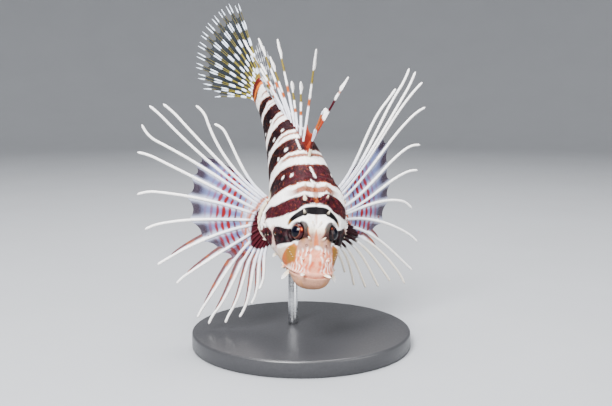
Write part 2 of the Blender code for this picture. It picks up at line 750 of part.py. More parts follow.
def jaw_block(name, grow):
    """The block that holds the lower jaw, from the mouth line down, with a margin all round."""
    (s0, z0), (s1, z1), (s2, z2), (s3, z3) = MOUTH_FRONT, MOUTH_BEND, MOUTH_CORNER, JAW_BACK
    outline = [
        (s0, z0 + grow),
        (s1, z1 + grow),
        (s2 + grow, z2 + grow),
        (s3 + grow, z3),
        (s0, z3),
    ]
    half = 30.0
    points = [at(s, x, z) for x in (-half, half) for s, z in outline]
    n = len(outline)
    faces = [tuple(range(n)), tuple(range(2 * n - 1, n - 1, -1))]
    faces += [(j, (j + 1) % n, (j + 1) % n + n, j + n) for j in range(n)]
    return make_mesh(name, points, faces)


def build_head_and_jaw():
    """The head with its bones, lips and eye sockets, and the lower jaw that the mouth line parts from it."""
    rings = [ring_at(HEAD_STATIONS, s, relief=head_relief) for s in HEAD_RINGS[:-1]]
    rings.append(ring_at(HEAD_STATIONS, GILL_EDGE - GAP / 2, relief=head_relief))
    whole = loft("head", rings)
    jaw = copy_of(whole)
    jaw.name = "lower_jaw"
    apply_boolean(whole, "UNION", head_pieces())
    sockets = [sphere("socket", eye_place(side)[0], EYE_RADIUS + GAP) for side in (-1, 1)]
    nostrils = [sphere("nostril", at(s, side * x, z), 0.75, 8, 6) for side in (-1, 1) for s, x, z in NOSTRILS]
    apply_boolean(whole, "DIFFERENCE", sockets + nostrils + [jaw_block("block", GAP / 2)])
    keep_largest(whole)
    apply_boolean(jaw, "INTERSECT", [jaw_block("block", -GAP / 2)])
    keep_largest(jaw)
    return whole, jaw


def flesh_cutter(first=40.0, step=4.0):
    """The trunk's plain form, grown, to trim a fin's root to a face that lies along the skin."""
    count = int((LENGTH - first) / step)
    distances = [first + (LENGTH - first) * k / count for k in range(count + 1)]
    rings = [ring_at(TRUNK_STATIONS, s, BOOLEAN_GAP) for s in distances]
    return loft("flesh", rings)


def material(name, colour, roughness, metallic=0.0):
    """A Principled material."""
    made = bpy.data.materials.new(name)
    made.use_nodes = True
    shader = made.node_tree.nodes["Principled BSDF"]
    shader.inputs["Base Color"].default_value = (*colour, 1.0)
    shader.inputs["Roughness"].default_value = roughness
    shader.inputs["Metallic"].default_value = metallic
    return made


def finish(obj, paint, smooth_angle=40.0):
    """Gives a node its material and smooth shading."""
    obj.data.materials.clear()
    obj.data.materials.append(paint)
    obj.data.shade_smooth()
    obj.data.set_sharp_from_angle(angle=math.radians(smooth_angle))
    return obj


def trunk_loft(name, first, last, step=4.0, sides=28):
    """One length of the trunk between two distances."""
    count = max(2, round((last - first) / step))
    distances = [first + (last - first) * k / count for k in range(count + 1)]
    return loft(name, [ring_at(TRUNK_STATIONS, s, sides=sides) for s in distances])


def pose_matrix():
    """The turn and place of the fish over the stand."""
    turn = Euler((math.radians(PITCH), math.radians(ROLL), math.radians(YAW)), "YXZ").to_matrix().to_4x4()
    return Matrix.Translation(Vector(SNOUT_PLACE) * MM) @ turn


def build_stand():
    """The round base and the rod that rises from it to the belly."""
    profile = [
        (0.0, 0.0),
        (BASE_RADIUS, 0.0),
        (BASE_RADIUS, BASE_THICKNESS - BASE_BEVEL),
        (BASE_RADIUS - BASE_BEVEL, BASE_THICKNESS),
        (0.0, BASE_THICKNESS),
    ]
    sides = 48
    points, faces = [Vector((0.0, 0.0, 0.0))], []
    for radius, height in profile[1:-1]:
        for j in range(sides):
            a = 2 * math.pi * j / sides
            points.append(Vector((radius * math.cos(a), radius * math.sin(a), height)))
    points.append(Vector((0.0, 0.0, BASE_THICKNESS)))
    for j in range(sides):
        k = (j + 1) % sides
        faces.append((0, 1 + k, 1 + j))
        for ring in range(2):
            a, b = 1 + ring * sides + j, 1 + ring * sides + k
            faces.append((a, b, b + sides, a + sides))
        faces.append((1 + 2 * sides + j, 1 + 2 * sides + k, len(points) - 1))
    base = make_mesh("stand_base", points, faces)
    belly = pose_matrix() @ (at(ROD_AT, 0.0, -12.0) * MM) / MM
    foot = Vector((belly.x, belly.y, BASE_THICKNESS + GAP))
    top = Vector((belly.x, belly.y, belly.z))
    rod = tube("stand_rod", [foot, top], [ROD_RADIUS, ROD_RADIUS], ROD_SIDES, normal=Vector((0.0, 1.0, 0.0)))
    cutter = flesh_cutter()
    cutter.data.transform(pose_matrix())
    apply_boolean(rod, "DIFFERENCE", [cutter])
    keep_largest(rod)
    return base, rod


def head_cutter():
    """The head's form, grown, to keep the pectoral rays clear of the gill covers."""
    rings = [ring_at(HEAD_STATIONS, s, BOOLEAN_GAP, head_relief) for s in HEAD_RINGS[3:-1:2]]
    rings.append(ring_at(HEAD_STATIONS, GILL_EDGE, BOOLEAN_GAP, head_relief))
    rings.append(ring_at(HEAD_STATIONS, GILL_EDGE + GAP, BOOLEAN_GAP, head_relief))
    return loft("gill_cutter", rings)


def main():
    for obj in list(bpy.data.objects):
        bpy.data.objects.remove(obj)
    skin = material("skin", (0.42, 0.16, 0.11), 0.45)
    fin = material("fin", (0.80, 0.78, 0.80), 0.4)
    eye = material("eye", (0.02, 0.03, 0.08), 0.08)
    base_paint = material("base", (0.05, 0.05, 0.055), 0.35)
    steel = material("steel", (0.62, 0.63, 0.65), 0.3, 1.0)

    base, rod = build_stand()
    finish(base, base_paint)
    finish(rod, steel)

    head, jaw = build_head_and_jaw()
    torso = trunk_loft("torso", GILL_EDGE + GAP / 2, TAIL_START - GAP / 2)
    apply_boolean(torso, "UNION", [lobe("lobe", side) for side in (-1, 1)])
    apply_boolean(torso, "DIFFERENCE", [head_cutter()])
    keep_largest(torso)
    tail = trunk_loft("tail_stem", TAIL_START + GAP / 2, LENGTH)
    fish = [finish(obj, skin) for obj in (head, jaw, torso, tail)]
    for side, word in ((-1, "right"), (1, "left")):
        ball = sphere("eye_" + word, eye_place(side)[0], EYE_RADIUS)
        fish.append(finish(ball, eye))

    def fin_node(obj, cutters, mends=False):
        apply_boolean(obj, "DIFFERENCE", cutters, mends)
        keep_largest(obj)
        fish.append(finish(obj, fin))

    for side, word in ((-1, "right"), (1, "left")):
        rays, normal = pectoral_rays(side)
        pectoral = ray_fan("pectoral_fin_" + word, rays, normal, 4, 6, scallop=0.25)
        fin_node(pectoral, [flesh_cutter(), lobe("lobe", side, BOOLEAN_GAP), head_cutter()])
        pelvic = ray_fan("pelvic_fin_" + word, pelvic_rays(side), Vector((0.0, 0.0, 1.0)), 4, 2)
        fin_node(pelvic, [flesh_cutter()])
    up = Vector((0.0, 0.0, 1.0))
    fin_node(ray_fan("dorsal_spines", dorsal_rays(), up, 2, 6), [flesh_cutter()], True)
    soft = midline_rays(103.5, 119.0, 9, (44, 66), (16, 30), False, -4)
    fin_node(ray_fan("soft_dorsal_fin", soft, up, 3, 1, scallop=0.3), [flesh_cutter()])
    anal = midline_rays(92.5, 110.0, 9, (24, 62), (14, 26), True, 30)
    fin_node(ray_fan("anal_fin", anal, up, 3, 1, scallop=0.3), [flesh_cutter()])
    fin_node(ray_fan("tail_fin", caudal_rays(), up, 5, 1, scallop=0.3), [flesh_cutter()])

    pose = bpy.data.objects.new("fish_pose", None)
    bpy.context.scene.collection.objects.link(pose)
    pose.matrix_world = pose_matrix()
    for obj in fish:
        obj.parent = pose
    bpy.context.view_layer.update()


main()
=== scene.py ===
"""The looks of a life-size museum model of a lionfish: banded skin, scales, rayed fins, eyes and its stand.

The fish is drawn in its own frame, in millimetres: X to the fish's left, Y from the snout back along the
body, Z from belly to back, as in the part's source. posed() turns it into the row frame, in metres.
"""

import math

import bpy
import numpy as np
from mathutils import Euler, Matrix, Vector


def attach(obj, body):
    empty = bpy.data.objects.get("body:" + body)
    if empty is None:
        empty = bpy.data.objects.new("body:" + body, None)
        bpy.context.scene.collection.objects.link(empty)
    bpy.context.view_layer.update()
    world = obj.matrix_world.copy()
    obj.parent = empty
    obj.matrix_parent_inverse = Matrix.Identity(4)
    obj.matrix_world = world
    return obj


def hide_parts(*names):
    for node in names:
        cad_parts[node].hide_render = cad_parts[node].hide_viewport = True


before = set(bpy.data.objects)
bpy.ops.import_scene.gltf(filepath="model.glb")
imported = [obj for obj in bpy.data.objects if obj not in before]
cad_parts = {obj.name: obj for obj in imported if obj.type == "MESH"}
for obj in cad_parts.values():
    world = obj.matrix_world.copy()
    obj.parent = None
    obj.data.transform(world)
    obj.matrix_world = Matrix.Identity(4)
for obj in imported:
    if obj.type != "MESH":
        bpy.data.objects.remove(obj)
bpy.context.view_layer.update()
random = np.random.default_rng(11)

MM = 0.001

# The fish's two sides, as they are counted and named below
SIDES = ((-1, "right"), (1, "left"))

# The fish's form and place, as in the part's source
PITCH, ROLL, YAW = 40.8, 9.0, 4.8
SNOUT_PLACE = (6.0, -44.0, 42.0)
LENGTH = 130.0
BEND, BEND_START = 21.5, 8.0
GILL_EDGE = 44.0
HEAD_STATIONS = (
    (0.0, -2.6, -5.2, 2.6, -4.0),
    (0.5, -1.0, -6.8, 4.8, -4.0),
    (1.5, 0.5, -8.2, 6.8, -3.8),
    (3.5, 2.9, -9.6, 8.4, -3.4),
    (7.0, 5.8, -11.3, 9.6, -3.2),
    (12.0, 8.8, -13.2, 11.2, -3.2),
    (18.0, 12.2, -15.0, 13.6, -3.6),
    (24.0, 15.4, -16.8, 16.0, -4.4),
    (30.0, 18.2, -18.4, 18.2, -5.4),
    (36.0, 20.6, -19.8, 19.8, -6.0),
    (41.0, 22.2, -20.8, 20.0, -5.6),
    (44.0, 23.0, -21.2, 19.2, -5.0),
)
TRUNK_STATIONS = (
    (44.0, 23.0, -21.2, 17.4, -4.0),
    (50.0, 23.6, -21.8, 15.8, -2.5),
    (60.0, 23.4, -21.6, 13.4, -1.0),
    (70.0, 22.2, -20.2, 11.6, 0.0),
    (82.0, 19.2, -17.4, 9.4, 0.0),
    (94.0, 15.2, -13.6, 7.2, 0.0),
    (106.0, 11.2, -9.9, 5.2, 0.0),
    (118.0, 8.3, -7.9, 3.6, 0.0),
    (130.0, 7.6, -7.6, 2.4, 0.0),
)
ROUNDNESS, EYE_NARROWING = 2.2, 0.3
EYE_AT, EYE_RADIUS, EYE_AXIS = (6.6, 21.5, 8.8), 4.5, (0.80, -0.38, 0.46)
MOUTH_FRONT, MOUTH_BEND, MOUTH_CORNER = (-3.0, 1.4), (3.0, 0.4), (13.5, -8.0)
NOSTRILS = ((10.0, 3.6, 8.2), (13.2, 4.6, 9.6))
LOBE_AT, LOBE_SIZE = (46.5, 12.0, -11.0), (8.2, 11.5, 3.8)
LOBE_ROOT, LOBE_TOP_ANGLE, LOBE_BOTTOM_ANGLE = (6.2, 9.6), 62.0, -100.0
FAN_CENTRE_OUT, HOOK_START = 4.0, 0.86
RIGHT_SWEEP, LEFT_SWEEP, FAN_TILT = 10.0, 30.0, 38.0
RAY_RADIUS, RAY_MIDDLE_RADIUS, RAY_TIP_RADIUS = 0.42, 0.6, 0.4


def smooth_table(rows, x):
    """The rows of values at the places x, on a monotone cubic through the table's rows."""
    table = np.array(rows, float)
    xs, ys = table[:, 0], table[:, 1:]
    x = np.clip(np.asarray(x, float), xs[0], xs[-1])
    steps = np.diff(xs)[:, None]
    slopes = np.diff(ys, axis=0) / steps
    product = slopes[:-1] * slopes[1:]
    total = slopes[:-1] + slopes[1:]
    middle = np.where(product > 0, 2 * product / np.where(total == 0, 1, total), 0.0)
    tangents = np.vstack([slopes[:1], middle, slopes[-1:]])
    i = np.clip(np.searchsorted(xs, x) - 1, 0, len(xs) - 2)
    h = (xs[i + 1] - xs[i])[..., None]
    t = (x - xs[i])[..., None] / h
    return (
        ys[i] * (2 * t**3 - 3 * t**2 + 1)
        + tangents[i] * h * (t**3 - 2 * t**2 + t)
        + ys[i + 1] * (3 * t**2 - 2 * t**3)
        + tangents[i + 1] * h * (t**3 - t**2)
    )


def bend_at(s):
    """How far the body has turned to the fish's right at the distances s from the snout, in radians."""
    return math.radians(BEND) * np.clip((np.asarray(s, float) - BEND_START) / (LENGTH - BEND_START), 0, 1)


def centre_line(step=0.5):
    """Distances and points along the body's bent middle line."""
    distances = np.arange(0.0, LENGTH + step, step)
    turns = bend_at(distances + step / 2)
    x = np.concatenate([[0.0], np.cumsum(-np.sin(turns) * step)[:-1]])
    y = np.concatenate([[0.0], np.cumsum(np.cos(turns) * step)[:-1]])
    return distances, x, y


LINE = centre_line()


def body_axes(s):
    """The fish's left, back and up directions at distance s."""
    turn = float(bend_at(s))
    left = np.array([math.cos(turn), math.sin(turn), 0.0])
    back = np.array([-math.sin(turn), math.cos(turn), 0.0])
    return left, back, np.array([0.0, 0.0, 1.0])


def at(s, x, z):
    """Points at distances s along the body, x to its left and z above its middle line."""
    s, x, z = np.broadcast_arrays(np.asarray(s, float), x, z)
    inside = np.clip(s, 0.0, LENGTH)
    turn = bend_at(inside)
    past = s - inside
    px = np.interp(inside, LINE[0], LINE[1]) + np.cos(turn) * x - np.sin(turn) * past
    py = np.interp(inside, LINE[0], LINE[2]) + np.sin(turn) * x + np.cos(turn) * past
    return np.stack([px, py, np.broadcast_to(z, px.shape)], -1)


def pose_matrix():
    """The turn and place of the fish over the stand."""
    turn = Euler((math.radians(PITCH), math.radians(ROLL), math.radians(YAW)), "YXZ").to_matrix().to_4x4()
    return np.array(Matrix.Translation(Vector(SNOUT_PLACE)) @ turn)


POSE = pose_matrix()


def posed(points):
    """Points of the fish's frame, in millimetres, as points of the row frame, in metres."""
    return (points @ POSE[:3, :3].T + POSE[:3, 3]) * MM


def bump(value, centre, width):
    """A smooth bump of height 1 at centre."""
    return np.exp(-(((value - centre) / width) ** 2))


def ramp(value, low, high):
    """0 below low and 1 above high, smooth between them."""
    t = np.clip((value - low) / (high - low), 0.0, 1.0)
    return t * t * (3 - 2 * t)


def profile(s):
    """Top, bottom, half width and height of the widest place at the distances s."""
    head = smooth_table(HEAD_STATIONS, s)
    trunk = smooth_table(TRUNK_STATIONS, s)
    return np.where((np.asarray(s, float) < GILL_EDGE)[..., None], head, trunk)


def mouth_height(s):
    """The height of the mouth line at the distances s."""
    marks = (MOUTH_FRONT, MOUTH_BEND, MOUTH_CORNER)
    return np.interp(s, [m[0] for m in marks], [m[1] for m in marks])


def ring_point(s, angle, table=None):
    """The plain form's x, z and widest height at distances s and angles round the body.

    The angle is 0 at the fish's left and a quarter turn at its back.
    """
    top, bottom, half, widest = np.moveaxis(profile(s) if table is None else table, -1, 0)
    c, q = np.cos(angle), np.sin(angle)
    narrowing = np.where((s < GILL_EDGE) & (q > 0), EYE_NARROWING * bump(s, EYE_AT[1], 9.0), 0.0)
    power = 2.0 / (ROUNDNESS - narrowing)
    reach = np.where(q > 0, top - widest, widest - bottom)
    x = np.sign(c) * np.abs(c) ** power * half
    z = widest + np.sign(q) * np.abs(q) ** power * reach
    return x, z, widest


def head_relief(s, x, z):
    """How far bone and lips stand out of the head's plain form."""
    side = np.abs(x)
    upper = (z > 0).astype(float)
    fades = ramp(s, 44.5, 42.0)
    brow = 1.3 * bump(s, 21.0, 7.0) * bump(side, 4.6, 1.8) * upper
    hollow = -1.0 * bump(s, 20.0, 9.0) * bump(side, 0.0, 2.2) * upper
    snout_hump = 0.9 * bump(s, 7.5, 3.0) * bump(side, 2.4, 2.0) * upper
    nape_ridge = 1.1 * bump(s, 37.0, 5.0) * bump(side, 5.5, 1.8) * upper
    cheek_ridge = 0.9 * bump(z, 1.0 - (s - 26.0) * 0.12, 1.8) * bump(s, 28.0, 8.0)
    gill_cover = 0.8 * bump(s, 38.5, 3.0) * (1.0 - upper) * np.minimum(side / 12.0, 1.0)
    from_mouth = z - mouth_height(s)
    open_part = ramp(s, 14.6, 12.6)
    groove = -1.1 * bump(from_mouth, 0.0, 0.34)
    upper_lip = 0.55 * bump(from_mouth, 1.15, 0.75)
    lower_lip = 0.4 * bump(from_mouth, -1.2, 0.8)
    from_slit = s - 31.0 + 0.03 * z * z * 0.2
    gill_slit = -0.5 * bump(from_slit, 0.0, 0.5) * ramp(-z, -2.0, 2.0) * ramp(side, 4.0, 9.0)
    return (
        (brow + hollow + snout_hump + nape_ridge + cheek_ridge + gill_cover) * fades
        + (groove + upper_lip + lower_lip) * open_part
        + gill_slit
    )


def fan_axes(side):
    """The middle of one pectoral fin's lobe, and the fin's directions out, up and through."""
    sweep = math.radians(RIGHT_SWEEP if side < 0 else LEFT_SWEEP)
    tilt = math.radians(FAN_TILT)
    out = np.array([side * math.cos(sweep), math.sin(sweep), 0.0])
    up = np.array([0.0, math.sin(tilt), math.cos(tilt)])
    up = unit(up - out * (up @ out))
    s, x, z = LOBE_AT
    return at(s, side * x, z), out, up, unit(np.cross(out, up))


def unit(vector):
    """The vector at length 1."""
    return vector / np.linalg.norm(vector, axis=-1, keepdims=True)


def mirrored(direction, side):
    """A direction out, back and up, at length 1, on one side of the fish."""
    out, back, up = direction
    return unit(np.array([side * out, back, up]))


def raise_lobes(points, normals):
    """Pushes the skin out over the fleshy roots of the pectoral fins."""
    raised = points.copy()
    for side in (-1, 1):
        middle, out, up, through = fan_axes(side)
        axes = np.array([out, up, through]) / np.array(LOBE_SIZE)[:, None]
        d, n = (points - middle) @ axes.T, normals @ axes.T
        a, b, c = (n * n).sum(-1), (d * n).sum(-1), (d * d).sum(-1) - 1.0
        inside = b * b - a * c
        reach = np.where(inside > 0, (-b + np.sqrt(np.maximum(inside, 0))) / a, 0.0)
        faces_out = np.sign(points[..., 0] - middle[0]) == side
        reach = np.clip(reach, 0.0, 9.0) * (np.sign(normals[..., 0]) == side) * (c < 6.0)
        moved = (reach > 0) & (faces_out | (c < 0))
        raised = np.where(moved[..., None], points + normals * reach[..., None], raised)
    return raised


def eye_place(side):
    """The middle of one eye and the way it looks."""
    x, s, z = EYE_AT
    return at(s, side * x, z), mirrored(EYE_AXIS, side)


# Heights along the eye's axis to which the skin is brought at distances from that axis
SOCKET_RADII = (0.0, 3.7, 4.2, 4.55, 5.1, 5.8)
SOCKET_HEIGHTS = (0.4, 0.5, 1.5, 2.6, 2.75, 2.2)


def shape_sockets(points):
    """Sinks the skin behind each eye and raises a rim round it."""
    shaped = points.copy()
    for side in (-1, 1):
        centre, axis = eye_place(side)
        d = points - centre
        along = d @ axis
        away = np.linalg.norm(d - along[..., None] * axis, axis=-1)
        wanted = np.interp(away, SOCKET_RADII, SOCKET_HEIGHTS)
        share = ramp(away, 7.4, 5.2) * (along > -2.0)
        change = (wanted - along) * share
        shaped = shaped + change[..., None] * axis
    return shaped


# Rows of the skin along the body: densest at the lips and eyes
HEAD_ROW_STEPS = ((0.0, 0.6, 0.06), (0.6, 3.0, 0.14), (3.0, 14.0, 0.25), (14.0, 44.0, 0.3))
TRUNK_ROW_STEP = 0.42
SKIN_COLUMNS = 256
# Rows of the fold behind the gill cover: step back and step out from its edge
GILL_FOLD = ((0.0, 0.0), (0.25, -0.25), (0.3, -0.7), (-0.1, -1.1), (-0.35, -1.5), (0.05, -1.8))


def skin_rows():
    """The distances of the rows of the head and of the trunk."""
    head = np.concatenate([np.arange(a, b, step) for a, b, step in HEAD_ROW_STEPS])
    head = head[head < GILL_EDGE - 0.8]
    trunk = np.arange(GILL_EDGE + 0.4, LENGTH + 0.1, TRUNK_ROW_STEP)
    trunk[-1] = LENGTH
    return head, trunk


def skin_grid():
    """The skin's points in the fish's frame, with the distance and angle of each, as rows by columns."""
    angle = np.linspace(0, 2 * np.pi, SKIN_COLUMNS, endpoint=False)
    head, trunk = skin_rows()
    fold = np.array(GILL_FOLD)
    s = np.concatenate([head, GILL_EDGE + fold[:, 0] - 0.3, trunk])
    drop = np.concatenate([head * 0, fold[:, 1], trunk * 0])
    kind = np.concatenate([head * 0, fold[:, 0] * 0 + 1, trunk * 0 + 2])
    s, angles = np.meshgrid(s, angle, indexing="ij")
    head_table = smooth_table(HEAD_STATIONS, s)
    trunk_table = smooth_table(TRUNK_STATIONS, np.maximum(s, GILL_EDGE))
    kinds = np.broadcast_to(kind[:, None], s.shape)
    table = np.where((kinds < 2)[..., None], head_table, trunk_table)
    x, z, widest = ring_point(s, angles, table)
    flank = ramp(np.sin(angles), 0.93, 0.6)
    out = head_relief(s, x, z) * (kinds < 2) + drop[:, None] * flank
    size = np.hypot(x, z - widest) + 1e-9
    x, z = x + x / size * out, z + (z - widest) / size * out
    return at(s, x, z), s, angles


def grid_normals(points):
    """Outward directions of a grid of rows along the body and columns round it."""
    along = np.gradient(points, axis=0)
    around = np.roll(points, -1, axis=1) - np.roll(points, 1, axis=1)
    return unit(np.cross(along, around) + 1e-12)


# Pectoral rays from the top of the fan down: angle up from straight out in degrees, length, how far the ray
# bows above its straight line near its first and its second third, and how far its tip hooks up
RIGHT_RAYS = (
    (48, 52, -7, 1.5, -2.5),
    (45, 64, -6, -6, -3.5),
    (35, 74, -3, -0.5, -1),
    (31, 78, -2, -2.5, -1),
    (24, 75, 1, 0, 4),
    (14, 70, 1, 1, -1.5),
    (-3, 64, 4, 4.5, -2),
    (-19, 60, 2, 5, -1),
    (-37, 59, 5, 3.5, 0),
    (-50, 56, 1, 1, -1),
    (-69, 62, 5, 0.5, -1),
    (-75, 62, 5.5, -4, -2),
    (-82, 58, 6.5, -4.5, -1.5),
    (-88, 53, 6, -4, 0),
    (-93, 45, 6, -3.5, 0),
    (-97, 37, 5, -3, 0),
)
LEFT_RAYS = (
    (46, 74, -12, 8, 2),
    (45, 87, -13, 3, 3),
    (42, 88, -8, -2.5, 1.5),
    (37, 87, -7, 4.5, 0),
    (29, 80, -6, 6, -1),
    (17, 67, -8, 8, -2),
    (6, 61, -7, 6, -1),
    (-14, 56, 3, 11, -2),
    (-31, 65, 9, 7, -1),
    (-44, 70, 11, 4, 0),
    (-51, 70, 10, 7, -1),
    (-55, 60, 9, 4.5, 0),
    (-62, 56, 10, 4, 0),
    (-69, 50, 9, 3, 0),
    (-76, 44, 8.5, 4, 0),
    (-80, 34, 4, 3, 0),
)
# How far along each ray its web reaches
RIGHT_WEB = (0.30, 0.42, 0.50, 0.56, 0.57, 0.59, 0.62, 0.62, 0.56, 0.48, 0.40, 0.33, 0.28, 0.26, 0.26, 0.28)
LEFT_WEB = (0.30, 0.40, 0.47, 0.58, 0.63, 0.65, 0.70, 0.70, 0.55, 0.42, 0.36, 0.34, 0.30, 0.28, 0.28, 0.30)

# How deep the roots of the fins on the midline are sunk in the body
FIN_DEPTH = 1.8

# Dorsal spines: distance from the snout, lean back and lean to the left in degrees, length
DORSAL_SPINES = (
    (56.0, 0, -4, 18),
    (58.8, 8, 6, 24),
    (61.6, 16, 21, 40),
    (66.5, 27, 3, 45),
    (71.0, 40, 0, 26),
    (75.5, 46, -5, 24),
    (79.0, 52, -7, 44),
    (82.5, 55, -13, 35),
    (86.0, 58, -14, 44),
    (89.0, 60, -22, 45),
    (92.0, 62, -20, 37),
    (95.0, 64, -14, 28),
    (97.5, 66, -18, 20),
)

# Tail fin: the angle of its top and bottom rays, how it turns and twists from the tail, and the rays' lengths
CAUDAL_TOP, CAUDAL_BOTTOM, CAUDAL_TURN, CAUDAL_TWIST = 42.0, -41.0, 20.0, 20.0
CAUDAL_LENGTHS = (46, 48, 48, 48, 48, 48, 47, 46, 45, 43, 39, 31)
TAIL_WEB = 0.94

# Soft dorsal and anal fin: distances of the first and last ray, number of rays, lean back of the first and
# last in degrees, length of the shortest and longest, and lean to the left in degrees
SOFT_DORSAL_RAYS = (103.5, 119.0, 9, (44, 66), (16, 30), -4)
ANAL_RAYS = (92.5, 110.0, 9, (24, 62), (14, 26), 30)

# Pelvic fins: distance, half distance between them and height of their roots, number of rays and length
PELVIC_AT, PELVIC_COUNT, PELVIC_LENGTH = (51.0, 6.5, -17.5), 6, 40.0

# Spines of the head on each side: distance, height, direction (out, back, up), length, radius
HEAD_SPIKES = (
    (8.0, 5.2, (0.5, -0.3, 0.8), 1.6, 0.6),
    (15.5, 10.6, (0.7, 0.3, 0.9), 2.4, 0.9),
    (21.5, 14.4, (0.5, 0.5, 1.0), 2.6, 0.9),
    (26.5, 15.8, (0.4, 0.8, 0.8), 2.4, 0.9),
    (33.0, 18.8, (0.3, 0.9, 0.6), 2.4, 0.9),
    (38.0, 20.8, (0.3, 0.9, 0.6), 2.6, 0.9),
    (13.5, -7.0, (0.9, -0.3, -0.5), 2.0, 0.8),
    (34.5, -3.0, (0.8, 0.8, 0.1), 2.6, 1.0),
    (35.0, -8.0, (0.8, 0.7, -0.3), 2.4, 1.0),
    (34.0, -12.5, (0.7, 0.5, -0.7), 2.2, 0.9),
    (42.5, 5.0, (0.6, 1.0, 0.2), 2.4, 0.9),
)

# Flaps of skin along the upper jaw and cheek on each side: distance, height, direction, length
HEAD_FLAPS = (
    (3.0, 1.5, (0.45, -0.6, 0.65), 3.2),
    (9.0, -4.5, (0.7, -0.5, -0.75), 4.6),
    (15.5, -8.5, (0.9, -0.2, -0.55), 4.2),
    (25.0, -12.5, (0.8, 0.1, -0.7), 3.0),
)


def weave(rows, columns, wrap=True):
    """Quads of a grid whose points are numbered row by row."""
    k, j = np.meshgrid(np.arange(rows - 1), np.arange(columns if wrap else columns - 1), indexing="ij")
    a = k * columns + j
    b = k * columns + (j + 1) % columns
    return np.stack([a, b, b + columns, a + columns], -1).reshape(-1, 4)


def capped(rings, sides):
    """Faces of rings of points, closed at both ends by middle points that come after the rings."""
    j = np.arange(sides)
    after, last = (j + 1) % sides, (rings - 1) * sides
    first_cap = np.stack([after, j, np.full(sides, rings * sides)], -1)
    last_cap = np.stack([last + j, last + after, np.full(sides, rings * sides + 1)], -1)
    return [weave(rings, sides), first_cap, last_cap]


def sheet_faces(rows, columns):
    """Faces of a closed sheet: a grid of points, the same grid behind it, and the rim between them."""
    n = rows * columns
    grid = weave(rows, columns, wrap=False)
    edge = np.concatenate([
        np.arange(columns),
        np.arange(1, rows) * columns + columns - 1,
        (rows - 1) * columns + np.arange(columns - 2, -1, -1),
        np.arange(rows - 2, 0, -1) * columns,
    ])
    after = np.roll(edge, -1)
    return [grid, grid[:, ::-1] + n, np.stack([edge, edge + n, after + n, after], -1)]


def flipped(faces):
    """The faces turned over."""
    return [group[:, ::-1] for group in faces]


class Mesh:
    """Collects the points, faces, colours and places on the UV map of one piece."""

    def __init__(self):
        self.points, self.faces, self.colours, self.places = [], [], [], []
        self.count = 0

    def add(self, points, faces, colours, places=None):
        """Adds points with their faces, numbered from 0, their colours and their places on the UV map."""
        points = np.asarray(points, float).reshape(-1, 3)
        colours = np.broadcast_to(np.asarray(colours, float), (len(points), 4))
        places = np.zeros((len(points), 2)) if places is None else np.asarray(places, float).reshape(-1, 2)
        self.points.append(points)
        self.colours.append(colours)
        self.places.append(places)
        self.faces += [group + self.count for group in faces]
        self.count += len(points)

    def build(self, name, paint, slot, *nodes, in_fish=True):
        """Makes the object, from points of the fish's frame or of the stand's, to stand for CAD nodes."""
        points = np.concatenate(self.points)
        points = posed(points) if in_fish else points * MM
        corners = np.concatenate([f.reshape(-1) for f in self.faces])
        sizes = np.concatenate([np.full(len(f), f.shape[1]) for f in self.faces])
        starts = np.concatenate([[0], np.cumsum(sizes)[:-1]])
        mesh = bpy.data.meshes.new(name)
        mesh.vertices.add(len(points))
        mesh.vertices.foreach_set("co", points.astype(np.float32).ravel())
        mesh.loops.add(len(corners))
        mesh.loops.foreach_set("vertex_index", corners.astype(np.int32))
        mesh.polygons.add(len(sizes))
        mesh.polygons.foreach_set("loop_start", starts.astype(np.int32))
        mesh.update(calc_edges=True)
        colour = mesh.attributes.new("paint", "FLOAT_COLOR", "POINT")
        colour.data.foreach_set("color", np.concatenate(self.colours).astype(np.float32).ravel())
        uv = mesh.uv_layers.new(name="OFBake")
        uv.data.foreach_set("uv", np.concatenate(self.places)[corners].astype(np.float32).ravel())
        mesh.validate()
        mesh.polygons.foreach_set("use_smooth", np.full(len(mesh.polygons), True))
        mesh.materials.append(paint)
        obj = bpy.data.objects.new(name, mesh)
        bpy.context.scene.collection.objects.link(obj)
        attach(obj, "root")
        if nodes:
            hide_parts(*nodes)


def cubic(a, b, c, d, t):
    """Points at t on the cubic curve from a to d."""
    t = np.asarray(t, float)[..., None]
    return a * (1 - t) ** 3 + b * (3 * t * (1 - t) ** 2) + c * (3 * t * t * (1 - t)) + d * t**3


def bezier(a, b, c, t):
    """Points at t on the curve from a to c that is pulled towards b."""
    t = np.asarray(t, float)[..., None]
    return a * (1 - t) ** 2 + b * (2 * t * (1 - t)) + c * t * t


def hooked(a, b, c, d, hook, t):
    """Points at t on a cubic curve whose end is also pushed aside, more and more towards its tip."""
    late = np.maximum(np.asarray(t, float) - HOOK_START, 0.0) / (1 - HOOK_START)
    return cubic(a, b, c, d - hook, t) + hook * (late * late)[..., None]


def pectoral_radius(t):
    """The radius of a pectoral ray, which thickens from its root and thins again towards its free tip."""
    return np.interp(t, (0.0, 0.15, 1.0), (RAY_RADIUS, RAY_MIDDLE_RADIUS, RAY_TIP_RADIUS))


